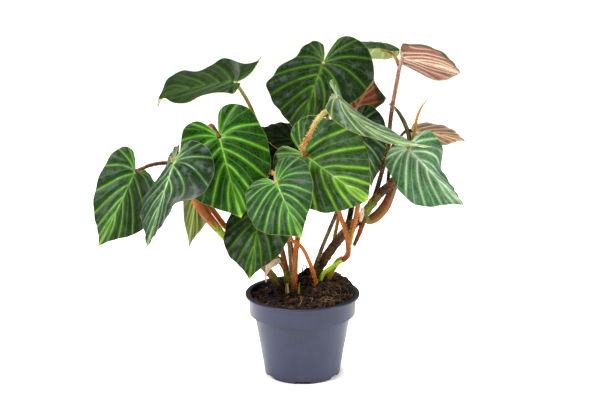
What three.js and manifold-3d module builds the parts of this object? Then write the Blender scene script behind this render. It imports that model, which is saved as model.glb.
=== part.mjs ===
// A potted philodendron verrucosum: a 12 cm nursery pot, its soil, five creeping stems,
// and eighteen heart-shaped leaves on long petioles. Millimetres, +Z up.
// The origin is the middle of the pot's flat base.
import * as THREE from 'three';
import { mergeVertices } from 'three/addons/utils/BufferGeometryUtils.js';
import Module from 'manifold-3d';

const wasm = await Module();
wasm.setup();

// The pot, a standard 12 cm nursery pot.
const POT = {
  height: 88,
  rimRadius: 60,
  rimHeight: 2.6,
  collarTopRadius: 56.2,
  collarBottomRadius: 55.5,
  collarBottomZ: 66.5,
  bodyTopRadius: 50.5,
  footRadius: 39.5,
  footEdge: 1.2,
  middleFoot: 14,
  recess: 3.2,
  recessRadius: 35,
  wall: 1.5,
  sides: 40,
};
const DRAIN = {
  count: 6,
  holeRadius: 4,
  holeSides: 12,
  holeCircle: 25,
  notchWidth: 15,
  notchDepth: 12,
  notchHeight: 3,
};

// The soil: level at the front and the left, mounded higher at the right and the back.
const SOIL = {
  level: 80,
  moundHeight: 23,
  moundX: 20,
  moundY: 16,
  spreadLeft: 28,
  spreadRight: 32,
  spreadDepth: 22,
  rings: 6,
};

// The clearance kept between neighbouring pieces.
const GAP = 0.35;
const LEAF_THICKNESS = 0.9;
const HUSK_THICKNESS = 0.6;
const HUSK_CUP = 1.5;
const HUSK_STEPS = 6;

// How finely a stem is drawn: the step along it, and the sides of a stout and of a thin one.
const STEM_STEP = 12;
const STOUT = 3.3;
const STOUT_SIDES = 8;
const THIN_SIDES = 6;

const COLOUR = {
  pot: 0x565a6c,
  soil: 0x3a2a20,
  leafDark: 0x2c4a22,
  leafBright: 0x3f7d25,
  leafSilver: 0x5b7f5a,
  leafUnder: 0x8a5a52,
  stemGreen: 0x8aa32c,
  stemDark: 0x4b3424,
  petioleRed: 0xa24a2a,
  petioleOlive: 0x8a7a2e,
  petiolePink: 0x9a5a50,
  sheath: 0xb0532f,
  dry: 0xc9a78c,
};

// Where the vein grid of a blade stops fanning from the petiole and starts along the rib.
const BASAL_SHARE = 0.4;
const FOOT_POWER = 1.2;

// How far a vein bows, the share of the margin over which the bow sets in, how much later it does
// so on a half with a short lobe, the half width that the bow is drawn for, and how far the edge of
// the sinus bows for its width.
const VEIN_BOW = 0.14;
const BOW_SPREAD = 0.3;
const BOW_DELAY = 1.5;
const SHORT_LOBE = 0.25;
const PLAIN_HALF = 0.5;
const SINUS_BOW = 0.28;
const LOBE_END = 0.34;
const FLANK_END = 0.68;
const HOOK_START = 0.7;
const LEAF_ROWS = [0, 0.1, 0.22, 0.34, 0.47, 0.6, 0.74, 0.88, 1];
const LEAF_COLUMNS = [0, 0.36, 0.7, 1];

const LEAF_DEFAULTS = {
  lobe: 0.38,
  gap: 0.1,
  shoulder: 1,
  belly: 1,
  flank: 0.5,
  blunt: 0,
  half: 0.52,
  fold: 8,
  foldFrom: 0,
  foldTo: 1,
  curl: -20,
  droop: 20,
  hook: 0,
  rise: 0,
  sweep: 0,
  twist: 0,
  wave: [0, 0, 0],
  lag: 0.3,
};

// Each blade: at is where the petiole joins it, tip is its point, roll turns its upper face about
// the line between them, from 0 where it faces the front. A pair is for the left and right halves
// of a hanging blade seen from the front. Angles are degrees, lengths are shares of the blade's.
const LEAVES = {
  leaf_upper_left: {
    at: [-68, -5, 311], tip: [-150, 30, 278], roll: 84, colour: COLOUR.leafDark,
    half: [0.4, 0.38], lobe: [0.38, 0.1], gap: [0.2, 0.1], shoulder: [0.72, 0.75], belly: [0.8, 1.15],
    flank: [1.1, 0.42], blunt: 0.5, fold: [17, 0], rise: [140, -60], droop: 4, hook: 60,
    wave: [0.06, 2.5, 0.2], lag: 0,
  },
  leaf_far_left: {
    at: [-169, -20, 222], tip: [-207, -40, 148], roll: -12, colour: COLOUR.leafBright,
    half: [0.36, 0.58], shoulder: [1, 0.8], belly: 1.05, lobe: [0.25, 0.1], gap: [0.25, 0.1],
    fold: [-20, -36], foldTip: [-20, 0], rise: [0, -60],
  },
  leaf_left: {
    at: [-125, -65, 243], tip: [-152, -85, 160], roll: 10, colour: COLOUR.leafSilver,
    half: [0.48, 0.45], shoulder: [0.75, 1], belly: [0.8, 0.75], flank: [0.9, 0.5], lobe: [0.2, 0.3],
    fold: [-64, -5], foldTip: [-52, -75], foldFrom: 0.05, foldTo: 0.5,
  },
  leaf_large_left: {
    at: [-82, -35, 260], tip: [-61, -50, 182], roll: 0, colour: COLOUR.leafBright,
    half: [0.49, 0.53], belly: [1.1, 1.05], flank: [0.78, 0.62], lobe: [0.28, 0.38], gap: [0.26, 0.1],
    blunt: 0.5,
  },
  leaf_low_back: {
    at: [-108, 20, 206], tip: [-119, 10, 132], roll: 180, colour: COLOUR.leafUnder,
    half: [0.27, 0.18],
  },
  leaf_bottom: {
    at: [-43, -15, 183], tip: [-54, -45, 114], roll: 0, colour: COLOUR.leafDark,
    half: [0.36, 0.47], belly: [1.2, 1], flank: [0.85, 0.5], fold: -8, wave: [0.03, 3, 0],
  },
  leaf_front: {
    at: [-25, -68, 222], tip: [0, -103, 176], roll: 0, colour: COLOUR.leafSilver,
    half: [0.54, 0.56], lobe: [0.2, 0.34], belly: [1, 0.95], flank: [0.78, 0.42], gap: [0.2, 0.14],
    blunt: 0.4,
  },
  leaf_large_centre: {
    at: [3, -45, 245], tip: [65, -60, 203], roll: 0, colour: COLOUR.leafBright,
    half: [0.48, 0.57], belly: [0.97, 1.1], flank: [0.8, 0.75], lobe: 0.35, blunt: 1,
  },
  leaf_upper_right: {
    at: [34, -60, 306], tip: [125, -75, 261], roll: -85, colour: COLOUR.leafDark,
    half: [0.3, 0.32], lobe: [0.06, 0.16], shoulder: [1, 0.8], flank: [0.35, 0.5], fold: [-4, 2],
    droop: -60, wave: [0.05, 2, 0.95], lag: 0,
  },
  leaf_top: {
    at: [21, 5, 329], tip: [-6, -10, 260], roll: 0, colour: COLOUR.leafDark,
    half: [0.53, 0.68], lobe: [0.25, 0.48], shoulder: [0.66, 1.04], belly: [1.3, 0.76], flank: [0.85, 0.32],
    blunt: 0.6,
  },
  leaf_top_back: {
    at: [79, 33, 346], tip: [30, 55, 338], roll: 78, colour: COLOUR.leafDark,
    half: [0.5, 0.36], fold: [-60, 6], lobe: 0.45, rise: -60,
  },
  leaf_top_right: {
    at: [102, 15, 332], tip: [159, 0, 319], roll: -130, colour: COLOUR.leafUnder,
    half: [0.4, 0.45], shoulder: [1, 0.55], flank: [0.8, 1], blunt: 1, lobe: 0.05,
  },
  leaf_back_centre: {
    at: [53, 32, 273], tip: [74, 37, 308], roll: 180, colour: COLOUR.leafUnder,
    half: [0.5, 0.6], shoulder: [1, 0.4], belly: [1, 0.1], flank: [0.4, 0.9], lobe: 0.05,
  },
  leaf_back_right: {
    at: [114, 15, 257], tip: [169, 10, 247], roll: -118, colour: COLOUR.leafUnder,
    half: [0.4, 0.4], flank: 0.7, fold: [8, -12], lobe: 0.05,
  },
  leaf_right: {
    at: [106, -35, 249], tip: [162, -55, 195], roll: 0, colour: COLOUR.leafSilver,
    half: [0.48, 0.46], lobe: [0.17, 0.06], shoulder: [0.78, 0.75], belly: [1.15, 0.8],
    flank: [0.6, 0.4], fold: [0, -10], foldTip: [0, -75], foldFrom: 0.1, foldTo: 0.5,
  },
  leaf_behind_right: {
    at: [57, 19, 258], tip: [72, 8, 199], roll: 0, colour: COLOUR.leafDark, half: [0.5, 0.46],
  },
  leaf_behind_left: {
    at: [-7, 25, 243], tip: [-48, 30, 255], roll: 60, colour: COLOUR.leafDark,
  },
  leaf_behind_centre: {
    at: [-20, 40, 246], tip: [-42, 34, 191], roll: 0, colour: COLOUR.leafDark,
    lobe: 0.05, half: 0.45,
  },
};

// Each stem and petiole, from its lower end up: its route, its radii spread evenly along it, the
// blade at its top, and the neighbours that its ends are cut to fit. A rooted one starts in the soil.
const STEMS = {
  vine_left: {
    route: [[-17, 4, 74], [-20, 5, 87], [-28, 4, 99], [-35, 3, 109], [-48, 1, 124], [-65, 0, 137],
      [-79, 1, 146], [-89, 2, 158]],
    radii: [4.4, 3.8], colour: COLOUR.stemGreen, rooted: true,
  },
  sheath_left: {
    route: [[-86, 2, 154], [-91, 2, 160], [-101, 2, 173], [-112, 2, 191], [-118, 3, 204]],
    radii: [4.2, 5.2, 5, 4], meets: ['vine_left'], colour: COLOUR.petiolePink,
  },
  vine_left_back: {
    route: [[-14, 15, 74], [-16, 13, 90], [-18, 11, 109], [-25, 11, 120], [-39, 12, 128], [-57, 13, 137],
      [-79, 13, 154], [-91, 13, 170], [-103, 12, 188]],
    radii: [3.4, 3, 2.8], colour: COLOUR.petioleRed, rooted: true,
  },
  vine_right: {
    route: [[9, 13, 80], [13, 11, 98], [16, 10, 109], [23, 7, 122], [32, 5, 136], [43, 2, 151], [62, 0, 171],
      [69, 0, 180], [79, 0, 194], [89, -1, 203], [100, 2, 217], [109, 6, 239], [113, 7, 250]],
    radii: [5, 5, 4.8, 4.4, 3.2], colour: COLOUR.stemDark, rooted: true,
  },
  vine_right_front: {
    route: [[16, 7, 84], [18, 4, 98], [22, -2, 109], [31, -8, 118], [39, -9, 124], [45, -9, 130],
      [49, -9, 140]],
    radii: [2.4, 2.3], colour: COLOUR.stemGreen, rooted: true,
  },
  vine_right_old: {
    route: [[22, 8, 84], [26, 8, 98], [30, 6, 108], [36, 1, 120], [41, -5, 126]],
    radii: [3.6, 3], meets: ['vine_right_front', 'vine_right'], colour: COLOUR.petioleOlive, rooted: true,
  },
  sheath_right: {
    route: [[63, 1, 169], [69, 3, 165], [77, 4, 169], [85, 5, 178], [91, 5, 191], [96, 5, 203]],
    radii: [3.4, 5.4, 5.4, 4.6, 3], meets: ['vine_right'], colour: COLOUR.petiolePink,
  },
  petiole_upper_left: {
    route: [[-17, 10, 109], [-21, 10, 128], [-26, 14, 146], [-33, 20, 178], [-40, 17, 222], [-44, 6, 255],
      [-51, 0, 281], [-61, -3, 301]],
    leaf: 'leaf_upper_left', radii: [3, 2.6, 2.1, 2, 1.8], meets: ['vine_left_back'],
    colour: COLOUR.petioleRed,
  },
  petiole_far_left: {
    route: [[-116, 3, 202], [-123, 1, 216], [-136, -4, 227], [-154, -12, 227], [-161, -16, 225]],
    leaf: 'leaf_far_left', radii: [2.4, 1.8], meets: ['sheath_left'], colour: COLOUR.petioleOlive,
  },
  petiole_left: {
    route: [[-112, -1, 194], [-119, -8, 212], [-126, -28, 232], [-128, -50, 243]],
    leaf: 'leaf_left', radii: [2.4, 1.8], meets: ['sheath_left', 'petiole_far_left'],
    colour: COLOUR.petioleOlive,
  },
  petiole_large_left: {
    route: [[-102, 12, 186], [-100, 9, 223], [-97, -2, 257], [-92, -16, 269], [-88, -26, 268]],
    leaf: 'leaf_large_left', radii: [2.5, 2.2, 2], meets: ['vine_left_back'], colour: COLOUR.petioleRed,
  },
  petiole_low_back: {
    route: [[-104, 11, 190], [-107, 13, 205], [-107, 17, 211]],
    leaf: 'leaf_low_back', radii: [1.8, 1.6], meets: ['vine_left_back', 'petiole_large_left', 'sheath_left'],
    colour: COLOUR.petioleOlive,
  },
  petiole_behind_left: {
    route: [[-9, -2, 76], [-9, -2, 90], [-8, -2, 109], [-7, -2, 130], [-5, -1, 146], [-4, 3, 160],
      [-2, 12, 190], [-1, 22, 219], [-4, 27, 237]],
    leaf: 'leaf_behind_left', radii: [3.8, 3, 2.6, 2.4, 1.8], colour: COLOUR.petioleRed, rooted: true,
  },
  petiole_bottom: {
    route: [[15, 2, 82], [14, -1, 98], [11, -6, 112], [7, -8, 124], [-1, -9, 140], [-13, -9, 149],
      [-22, -6, 165], [-33, -3, 182], [-40, -8, 186]],
    leaf: 'leaf_bottom', radii: [2.2, 1.9, 1.6], colour: COLOUR.petioleRed, rooted: true,
  },
  petiole_front: {
    route: [[-11, 7, 78], [-12, 7, 92], [-12, 6, 106], [-13, 6, 123], [-15, 7, 141], [-27, 5, 162],
      [-40, 8, 190], [-47, 1, 213], [-43, -28, 224], [-33, -40, 227], [-27, -51, 227]],
    leaf: 'leaf_front', radii: [1.9, 1.7], colour: COLOUR.petioleOlive, rooted: true,
  },
  petiole_behind_centre: {
    route: [[-8, 17, 80], [-8, 17, 94], [-9, 17, 116], [-12, 17, 140], [-11, 18, 156], [-10, 24, 192],
      [-13, 38, 232], [-18, 43, 250]],
    leaf: 'leaf_behind_centre', radii: [1.8, 1.6], colour: COLOUR.petioleRed, rooted: true,
  },
  petiole_large_centre: {
    route: [[48, -9, 139], [50, -10, 151], [53, -11, 164], [56, -12, 180], [58, -13, 196], [57, -16, 228],
      [50, -24, 266], [38, -36, 286], [27, -48, 291], [16, -56, 285], [7, -58, 268], [0, -51, 253]],
    leaf: 'leaf_large_centre', radii: [2.6, 2.4, 2.2, 2.1, 1.9], meets: ['vine_right_front'],
    colour: COLOUR.petioleRed,
  },
  petiole_top: {
    route: [[42, -10, 126], [47, -14, 132], [47, -16, 143], [44, -17, 160], [38, -17, 178], [35, -15, 196],
      [31, -6, 220], [27, 9, 260], [24, 18, 294], [23, 14, 318]],
    leaf: 'leaf_top', radii: [2.7, 2.2, 2, 1.8], meets: ['vine_right_front', 'petiole_large_centre'],
    colour: COLOUR.petioleRed,
  },
  petiole_upper_right: {
    route: [[5, 4, 82], [8, 3, 97], [13, 1, 115], [20, -2, 136], [28, -3, 157], [35, -3, 175], [42, -6, 211],
      [44, -20, 245], [40, -38, 279], [36, -52, 298]],
    leaf: 'leaf_upper_right', radii: [2.3, 2, 1.8], colour: COLOUR.petioleOlive, rooted: true,
  },
  petiole_back_centre: {
    route: [[44, 2, 150], [50, 11, 171], [54, 19, 204], [55, 32, 244], [55, 34, 262]],
    leaf: 'leaf_back_centre', radii: [3.2, 2.6, 1.8], meets: ['vine_right'], colour: COLOUR.stemDark,
  },
  petiole_behind_right: {
    route: [[32, 4, 137], [34, 6, 149], [37, 9, 164], [40, 14, 184], [44, 23, 215], [52, 27, 248]],
    leaf: 'leaf_behind_right', radii: [2, 1.6], meets: ['vine_right', 'petiole_back_centre'],
    colour: COLOUR.petioleOlive,
  },
  petiole_top_right: {
    route: [[68, 1, 177], [73, 4, 186], [81, 5, 213], [88, 4, 243], [89, 4, 262], [91, 5, 281], [95, 8, 304],
      [100, 13, 329]],
    leaf: 'leaf_top_right', radii: [2.6, 2.3, 1.9], meets: ['vine_right'], colour: COLOUR.petiolePink,
  },
  petiole_top_back: {
    route: [[98, 12, 325], [94, 19, 333], [87, 26, 337], [81, 29, 339]],
    leaf: 'leaf_top_back', radii: [1.9, 1.5], meets: ['petiole_top_right'], colour: COLOUR.stemDark,
  },
  petiole_right: {
    route: [[96, 4, 200], [99, -4, 225], [102, -14, 243], [106, -28, 252]],
    leaf: 'leaf_right', radii: [2.4, 1.8], meets: ['sheath_right', 'vine_right'], colour: COLOUR.petioleRed,
  },
  petiole_back_right: {
    route: [[88, 3, 205], [90, 12, 222], [93, 16, 240], [100, 18, 249], [107, 19, 256]],
    leaf: 'leaf_back_right', radii: [2, 1.4], meets: ['vine_right', 'petiole_top_right'],
    colour: COLOUR.stemDark,
  },
  new_shoot: {
    route: [[113, 6, 249], [114, -4, 262], [115, -9, 273], [119, -10, 285], [127, -11, 297]],
    radii: [1.7, 1.7, 1.3, 0.4], meets: ['vine_right', 'petiole_back_right'], colour: COLOUR.petioleOlive,
  },
  rolled_leaf: {
    route: [[110, 9, 245], [108, 12, 257], [98, 12, 277], [89, 13, 286]],
    radii: [2.4, 2.2, 1.2], meets: ['vine_right', 'new_shoot', 'petiole_back_right', 'petiole_right'],
    colour: COLOUR.leafDark,
  },
  shoot_left: {
    route: [[-127, -30, 231], [-126, -31, 242], [-123, -31, 253]],
    radii: [2.6, 2.4, 0.5], meets: ['petiole_left'], colour: COLOUR.stemDark,
  },
  aerial_root: {
    route: [[64, 0, 168], [61, -4, 160], [57, -7, 150], [53, -9, 141]],
    radii: [2.8, 2.6, 1.6], meets: ['vine_right', 'sheath_right', 'petiole_large_centre'],
    colour: COLOUR.stemDark,
  },
  bud: {
    route: [[-16, -4, 82], [-16, -4, 90], [-16, -5, 99]],
    radii: [1.6, 2.4, 0.8], colour: COLOUR.dry, rooted: true,
  },
  sprout: {
    route: [[-4, -7, 82], [-4, -7, 92], [-3, -7, 101]],
    radii: [1.2, 1, 0.4], colour: COLOUR.stemGreen, rooted: true,
  },
};

// Dry papery scales: each lies along its route, with its widths spread evenly along it.
const HUSKS = {
  husk_left: {
    route: [[-23, 5, 121], [-29, 2, 119], [-35, -3, 116], [-38, -4, 108], [-38, -4, 100]],
    widths: [5, 8, 6, 2, 1],
  },
  husk_right: {
    route: [[62, -6.5, 181], [61, -6.5, 173], [60, -6.5, 166]],
    widths: [3, 5, 2],
  },
  husk_arch: {
    route: [[28, -44, 286], [34, -38, 282], [40, -31, 276]],
    widths: [3, 5, 3],
  },
};

const radians = THREE.MathUtils.degToRad;

// A leaf's value for one half, where the table gives a pair, or its one value.
function halfValue(value, side) {
  if (Array.isArray(value)) return value[side < 0 ? 0 : 1];
  return value;
}

// The margin of one half of a flat blade, from the lobe's inner corner round to the tip.
// Returns [along, across]: along the rib in blade lengths, across in half widths.
function marginPoint(leaf, side, s) {
  const own = (key) => halfValue(leaf[key], side);
  const lobe = own('lobe');
  const gap = own('gap');
  const shoulder = 0.98 * own('shoulder');
  const flank = own('flank');
  const inner = [-0.72 * lobe, gap];
  const widest = [-0.13 * lobe, shoulder];
  const low = [0.72, flank];
  const arcs = [
    [0, LOBE_END, inner, [-1.13 * lobe, 1.6 * gap], [-1.1 * lobe, 0.87 * shoulder], widest],
    [LOBE_END, FLANK_END, widest, [0.14, shoulder + 0.07], [0.48, flank + 0.54 * own('belly')], low],
    [FLANK_END, 1, low, [0.82 + 0.04 * leaf.blunt, flank * (0.48 + 0.2 * leaf.blunt)],
      [0.9 + 0.07 * leaf.blunt, flank * (0.1 + 0.06 * leaf.blunt)], [1, 0]],
  ];
  const [from, to, a, b, c, d] = arcs.find((arc) => s <= arc[1]);
  const t = (s - from) / (to - from);
  const w = [(1 - t) ** 3, 3 * t * (1 - t) ** 2, 3 * t * t * (1 - t), t ** 3];
  return [0, 1].map((k) => w[0] * a[k] + w[1] * b[k] + w[2] * c[k] + w[3] * d[k]);
}

// A point of the flat blade: s picks the vein, from the sinus (0) to the tip (1), and t runs along
// it from the rib to the margin. Both results are in blade lengths.
function flatPoint(leaf, side, s, t) {
  const [along, across] = marginPoint(leaf, side, s);
  const foot = s > BASAL_SHARE ? ((s - BASAL_SHARE) / (1 - BASAL_SHARE)) ** FOOT_POWER : 0;
  const du = along - foot;
  const dv = across * halfValue(leaf.half, side);
  const lobe = halfValue(leaf.lobe, side);
  const spread = BOW_SPREAD + BOW_DELAY * Math.max(0, SHORT_LOBE - lobe);
  const atSinus = (SINUS_BOW * halfValue(leaf.gap, side)) / lobe;
  const first = Math.min(VEIN_BOW * Math.min(1, lobe / SHORT_LOBE), atSinus);
  const bow = THREE.MathUtils.lerp(first, VEIN_BOW, THREE.MathUtils.smoothstep(s, 0, spread));
  const narrow = halfValue(leaf.half, side) / PLAIN_HALF;
  const bend = [foot + du / 2 - bow * dv, dv / 2 + bow * narrow * du];
  const u = (1 - t) ** 2 * foot + 2 * t * (1 - t) * bend[0] + t * t * along;
  const v = 2 * t * (1 - t) * bend[1] + t * t * dv;
  return [u, Math.max(v, 0)];
}

// The rib's own curve in the blade's side view: how far along and how far down it is at u.
function ribPoint(leaf, side, u) {
  const steps = 16;
  const point = [0, 0];
  let angle = 0;
  for (let i = 0; i < steps; i += 1) {
    angle = ribAngle(leaf, side, (u * (i + 0.5)) / steps);
    point[0] += (Math.cos(angle) * u) / steps;
    point[1] -= (Math.sin(angle) * u) / steps;
  }
  return { x: point[0], z: point[1], angle: ribAngle(leaf, side, u) };
}

function ribAngle(leaf, side, u) {
  if (u < 0) return radians(halfValue(leaf.rise, side)) * -u;
  return radians(leaf.droop) * u + radians(leaf.hook) * Math.max(0, (u - HOOK_START) / (1 - HOOK_START));
}

// The flat blade folded at its rib, curled across, bent along the rib, swept, twisted and waved.
function bladePoint(leaf, side, s, t) {
  const [u, v] = flatPoint(leaf, side, s, t);
  const blend = THREE.MathUtils.smoothstep(u, leaf.foldFrom, leaf.foldTo);
  const fold = halfValue(leaf.fold, side);
  const start = radians(THREE.MathUtils.lerp(fold, halfValue(leaf.foldTip, side), blend));
  const turn = radians(halfValue(leaf.curl, side)) || 1e-6;
  const y = (Math.sin(start + turn * v) - Math.sin(start)) / turn;
  const [height, waves, phase] = leaf.wave;
  const out = v / halfValue(leaf.half, side);
  const ripple = height * out * out * Math.sin(2 * Math.PI * (waves * s + phase + (side < 0 ? leaf.lag : 0)));
  const z = (Math.cos(start) - Math.cos(start + turn * v)) / turn + ripple;
  const rib = ribPoint(leaf, side, u);
  const flat = new THREE.Vector3(rib.x + Math.sin(rib.angle) * z, side * y, rib.z + Math.cos(rib.angle) * z);
  const sweep = radians(leaf.sweep) * Math.max(u, 0);
  const twist = radians(leaf.twist) * u;
  flat.applyAxisAngle(new THREE.Vector3(1, 0, 0), twist);
  flat.applyAxisAngle(new THREE.Vector3(0, 0, 1), sweep / 2);
  return flat;
}

// The matrix that carries a blade's own frame to its place on the plant.
function bladeMatrix(leaf) {
  const own = bladePoint(leaf, 1, 1, 1);
  const at = new THREE.Vector3(...leaf.at);
  const chord = new THREE.Vector3(...leaf.tip).sub(at);
  const scale = chord.length() / own.length();
  const basis = (forward, up) => {
    const x = forward.clone().normalize();
    const z = up.clone().addScaledVector(x, -up.dot(x)).normalize();
    return new THREE.Matrix4().makeBasis(x, new THREE.Vector3().crossVectors(z, x), z);
  };
  const front = basis(chord, new THREE.Vector3(0, -1, 0));
  const turned = new THREE.Matrix4().makeRotationAxis(chord.clone().normalize(), radians(leaf.roll));
  const inverse = basis(own, new THREE.Vector3(0, 0, 1)).transpose();
  return new THREE.Matrix4().makeTranslation(at)
    .multiply(turned)
    .multiply(front)
    .multiply(inverse)
    .scale(new THREE.Vector3(scale, scale, scale));
}

// An open sheet of points and triangles made into a closed shell of even thickness.
function thicken(points, triangles, thickness) {
  const normals = points.map(() => new THREE.Vector3());
  const ab = new THREE.Vector3();
  const ac = new THREE.Vector3();
  for (const corners of triangles) {
    const [a, b, c] = corners.map((i) => points[i]);
    const normal = new THREE.Vector3().crossVectors(ab.subVectors(b, a), ac.subVectors(c, a)).normalize();
    corners.forEach((i) => normals[i].add(normal));
  }
  normals.forEach((n) => n.normalize());
  const count = points.length;
  const faces = [];
  const edges = new Set(triangles.flatMap(([a, b, c]) => [`${a} ${b}`, `${b} ${c}`, `${c} ${a}`]));
  for (const [a, b, c] of triangles) {
    faces.push([a, b, c], [a + count, c + count, b + count]);
    for (const [from, to] of [[a, b], [b, c], [c, a]]) {
      if (!edges.has(`${to} ${from}`)) {
        faces.push([to, from, from + count], [to, from + count, to + count]);
      }
    }
  }
  const shifted = (share) => points.map((p, i) => p.clone().addScaledVector(normals[i], share * thickness));
  const all = [...shifted(0.5), ...shifted(-0.5)];
  const geometry = new THREE.BufferGeometry();
  geometry.setAttribute('position', new THREE.Float32BufferAttribute(all.flatMap((p) => p.toArray()), 3));
  geometry.setIndex(faces.flat());
  return geometry;
}

// A whole blade as a shell, its two halves joined along the rib, each face moved out by extra.
function bladeGeometry(leaf, extra = 0) {
  const matrix = bladeMatrix(leaf);
  const points = [];
  const triangles = [];
  const known = new Map();
  const vertex = (side, s, t) => {
    const onRib = t === 0 || s === 1;
    const row = t === 0 && s <= BASAL_SHARE ? 0 : s;
    const key = onRib ? `rib ${s === 1 ? 1 : row}` : `${side} ${s} ${t}`;
    if (!known.has(key)) {
      known.set(key, points.length);
      points.push(bladePoint(leaf, side, s, t).applyMatrix4(matrix));
    }
    return known.get(key);
  };
  const add = (side, a, b, c) => {
    if (a === b || b === c || a === c) return;
    triangles.push(side > 0 ? [a, b, c] : [a, c, b]);
  };
  for (const side of [-1, 1]) {
    for (let i = 1; i < LEAF_ROWS.length; i += 1) {
      for (let j = 1; j < LEAF_COLUMNS.length; j += 1) {
        const [s0, s1] = [LEAF_ROWS[i - 1], LEAF_ROWS[i]];
        const [t0, t1] = [LEAF_COLUMNS[j - 1], LEAF_COLUMNS[j]];
        const [a, b, c, d] = [[s0, t0], [s1, t0], [s1, t1], [s0, t1]].map(([s, t]) => vertex(side, s, t));
        add(side, a, b, c);
        add(side, a, c, d);
      }
    }
  }
  return thicken(points, triangles, LEAF_THICKNESS + 2 * extra);
}

// The value at a share of the way along a list of evenly spread values.
function along(values, share) {
  const place = THREE.MathUtils.clamp(share, 0, 1) * (values.length - 1);
  const index = Math.min(Math.floor(place), values.length - 2);
  return THREE.MathUtils.lerp(values[index], values[index + 1], place - index);
}

// A closed round tube along a route, tapering by its radii, grown all over by extra.
function tubeGeometry(stem, extra = 0) {
  const points = stem.route.map((p) => new THREE.Vector3(...p));
  const path = new THREE.CatmullRomCurve3(points, false, 'centripetal');
  const steps = Math.max(3, Math.round(path.getLength() / STEM_STEP));
  const sides = Math.max(...stem.radii) > STOUT ? STOUT_SIDES : THIN_SIDES;
  const corners = Array.from({ length: sides }, (_, i) => {
    const angle = (2 * Math.PI * i) / sides;
    return new THREE.Vector2(Math.cos(angle), Math.sin(angle));
  });
  const geometry = new THREE.ExtrudeGeometry(new THREE.Shape(corners), { steps, extrudePath: path });
  const centres = path.getSpacedPoints(steps);
  const tangents = centres.map((_, i) => path.getTangentAt(i / steps));
  const position = geometry.getAttribute('position');
  const offset = new THREE.Vector3();
  for (let i = 0; i < position.count; i += 1) {
    const misfits = centres.map((centre, k) => {
      offset.fromBufferAttribute(position, i).sub(centre);
      return Math.abs(offset.dot(tangents[k])) + Math.abs(offset.length() - 1);
    });
    const ring = misfits.indexOf(Math.min(...misfits));
    offset.fromBufferAttribute(position, i).sub(centres[ring]);
    offset.multiplyScalar(along(stem.radii, ring / steps) + extra).add(centres[ring]);
    if (ring === 0) offset.addScaledVector(tangents[0], -extra);
    if (ring === steps) offset.addScaledVector(tangents[steps], extra);
    position.setXYZ(i, ...offset.toArray());
  }
  return geometry;
}

// Where a petiole ends, just short of its blade.
function stemTop(stem) {
  const top = new THREE.Vector3(...LEAVES[stem.leaf].at);
  const below = new THREE.Vector3(...stem.route.at(-1));
  return top.add(below.sub(top).setLength(2 * GAP)).toArray();
}

// A closed thin strip along a route, its faces towards the front.
function huskGeometry(husk) {
  const path = new THREE.CatmullRomCurve3(husk.route.map((p) => new THREE.Vector3(...p)));
  const points = [];
  const triangles = [];
  const across = [-0.5, 0, 0.5];
  for (let i = 0; i <= HUSK_STEPS; i += 1) {
    const share = i / HUSK_STEPS;
    const side = path.getTangentAt(share).cross(new THREE.Vector3(0, 1, 0)).normalize();
    for (const part of across) {
      const point = path.getPointAt(share).addScaledVector(side, part * along(husk.widths, share));
      points.push(point.add(new THREE.Vector3(0, HUSK_CUP * Math.abs(part), 0)));
    }
  }
  for (let i = 0; i < HUSK_STEPS; i += 1) {
    for (let j = 0; j < 2; j += 1) {
      const first = 3 * i + j;
      triangles.push([first, first + 3, first + 4], [first, first + 4, first + 1]);
    }
  }
  return thicken(points, triangles, HUSK_THICKNESS);
}

// A geometry's vertices merged into a solid, and a solid made back into a geometry.
function solidOf(geometry) {
  const bare = geometry.clone();
  bare.deleteAttribute('normal');
  bare.deleteAttribute('uv');
  const merged = mergeVertices(bare, 1e-4);
  return new wasm.Manifold(new wasm.Mesh({
    numProp: 3,
    vertProperties: merged.getAttribute('position').array,
    triVerts: new Uint32Array(merged.index.array),
  }));
}

function geometryOf(solid) {
  const mesh = solid.getMesh();
  const geometry = new THREE.BufferGeometry();
  geometry.setAttribute('position', new THREE.BufferAttribute(mesh.vertProperties, 3));
  geometry.setIndex(new THREE.BufferAttribute(mesh.triVerts, 1));
  return geometry;
}

// The solid left when the cutters are taken from it, without the crumbs that a cut leaves.
function cut(solid, cutters) {
  const left = cutters.reduce((whole, cutter) => whole.subtract(cutter), solid);
  return left.decompose().sort((a, b) => b.volume() - a.volume())[0];
}

// A ring of copies of one geometry, each a solid turned about the pot's axis.
function ringOf(geometry, count, startAngle = 0) {
  return Array.from({ length: count }, (_, i) => (
    solidOf(geometry.clone().rotateZ(startAngle + (2 * Math.PI * i) / count))
  ));
}

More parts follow.
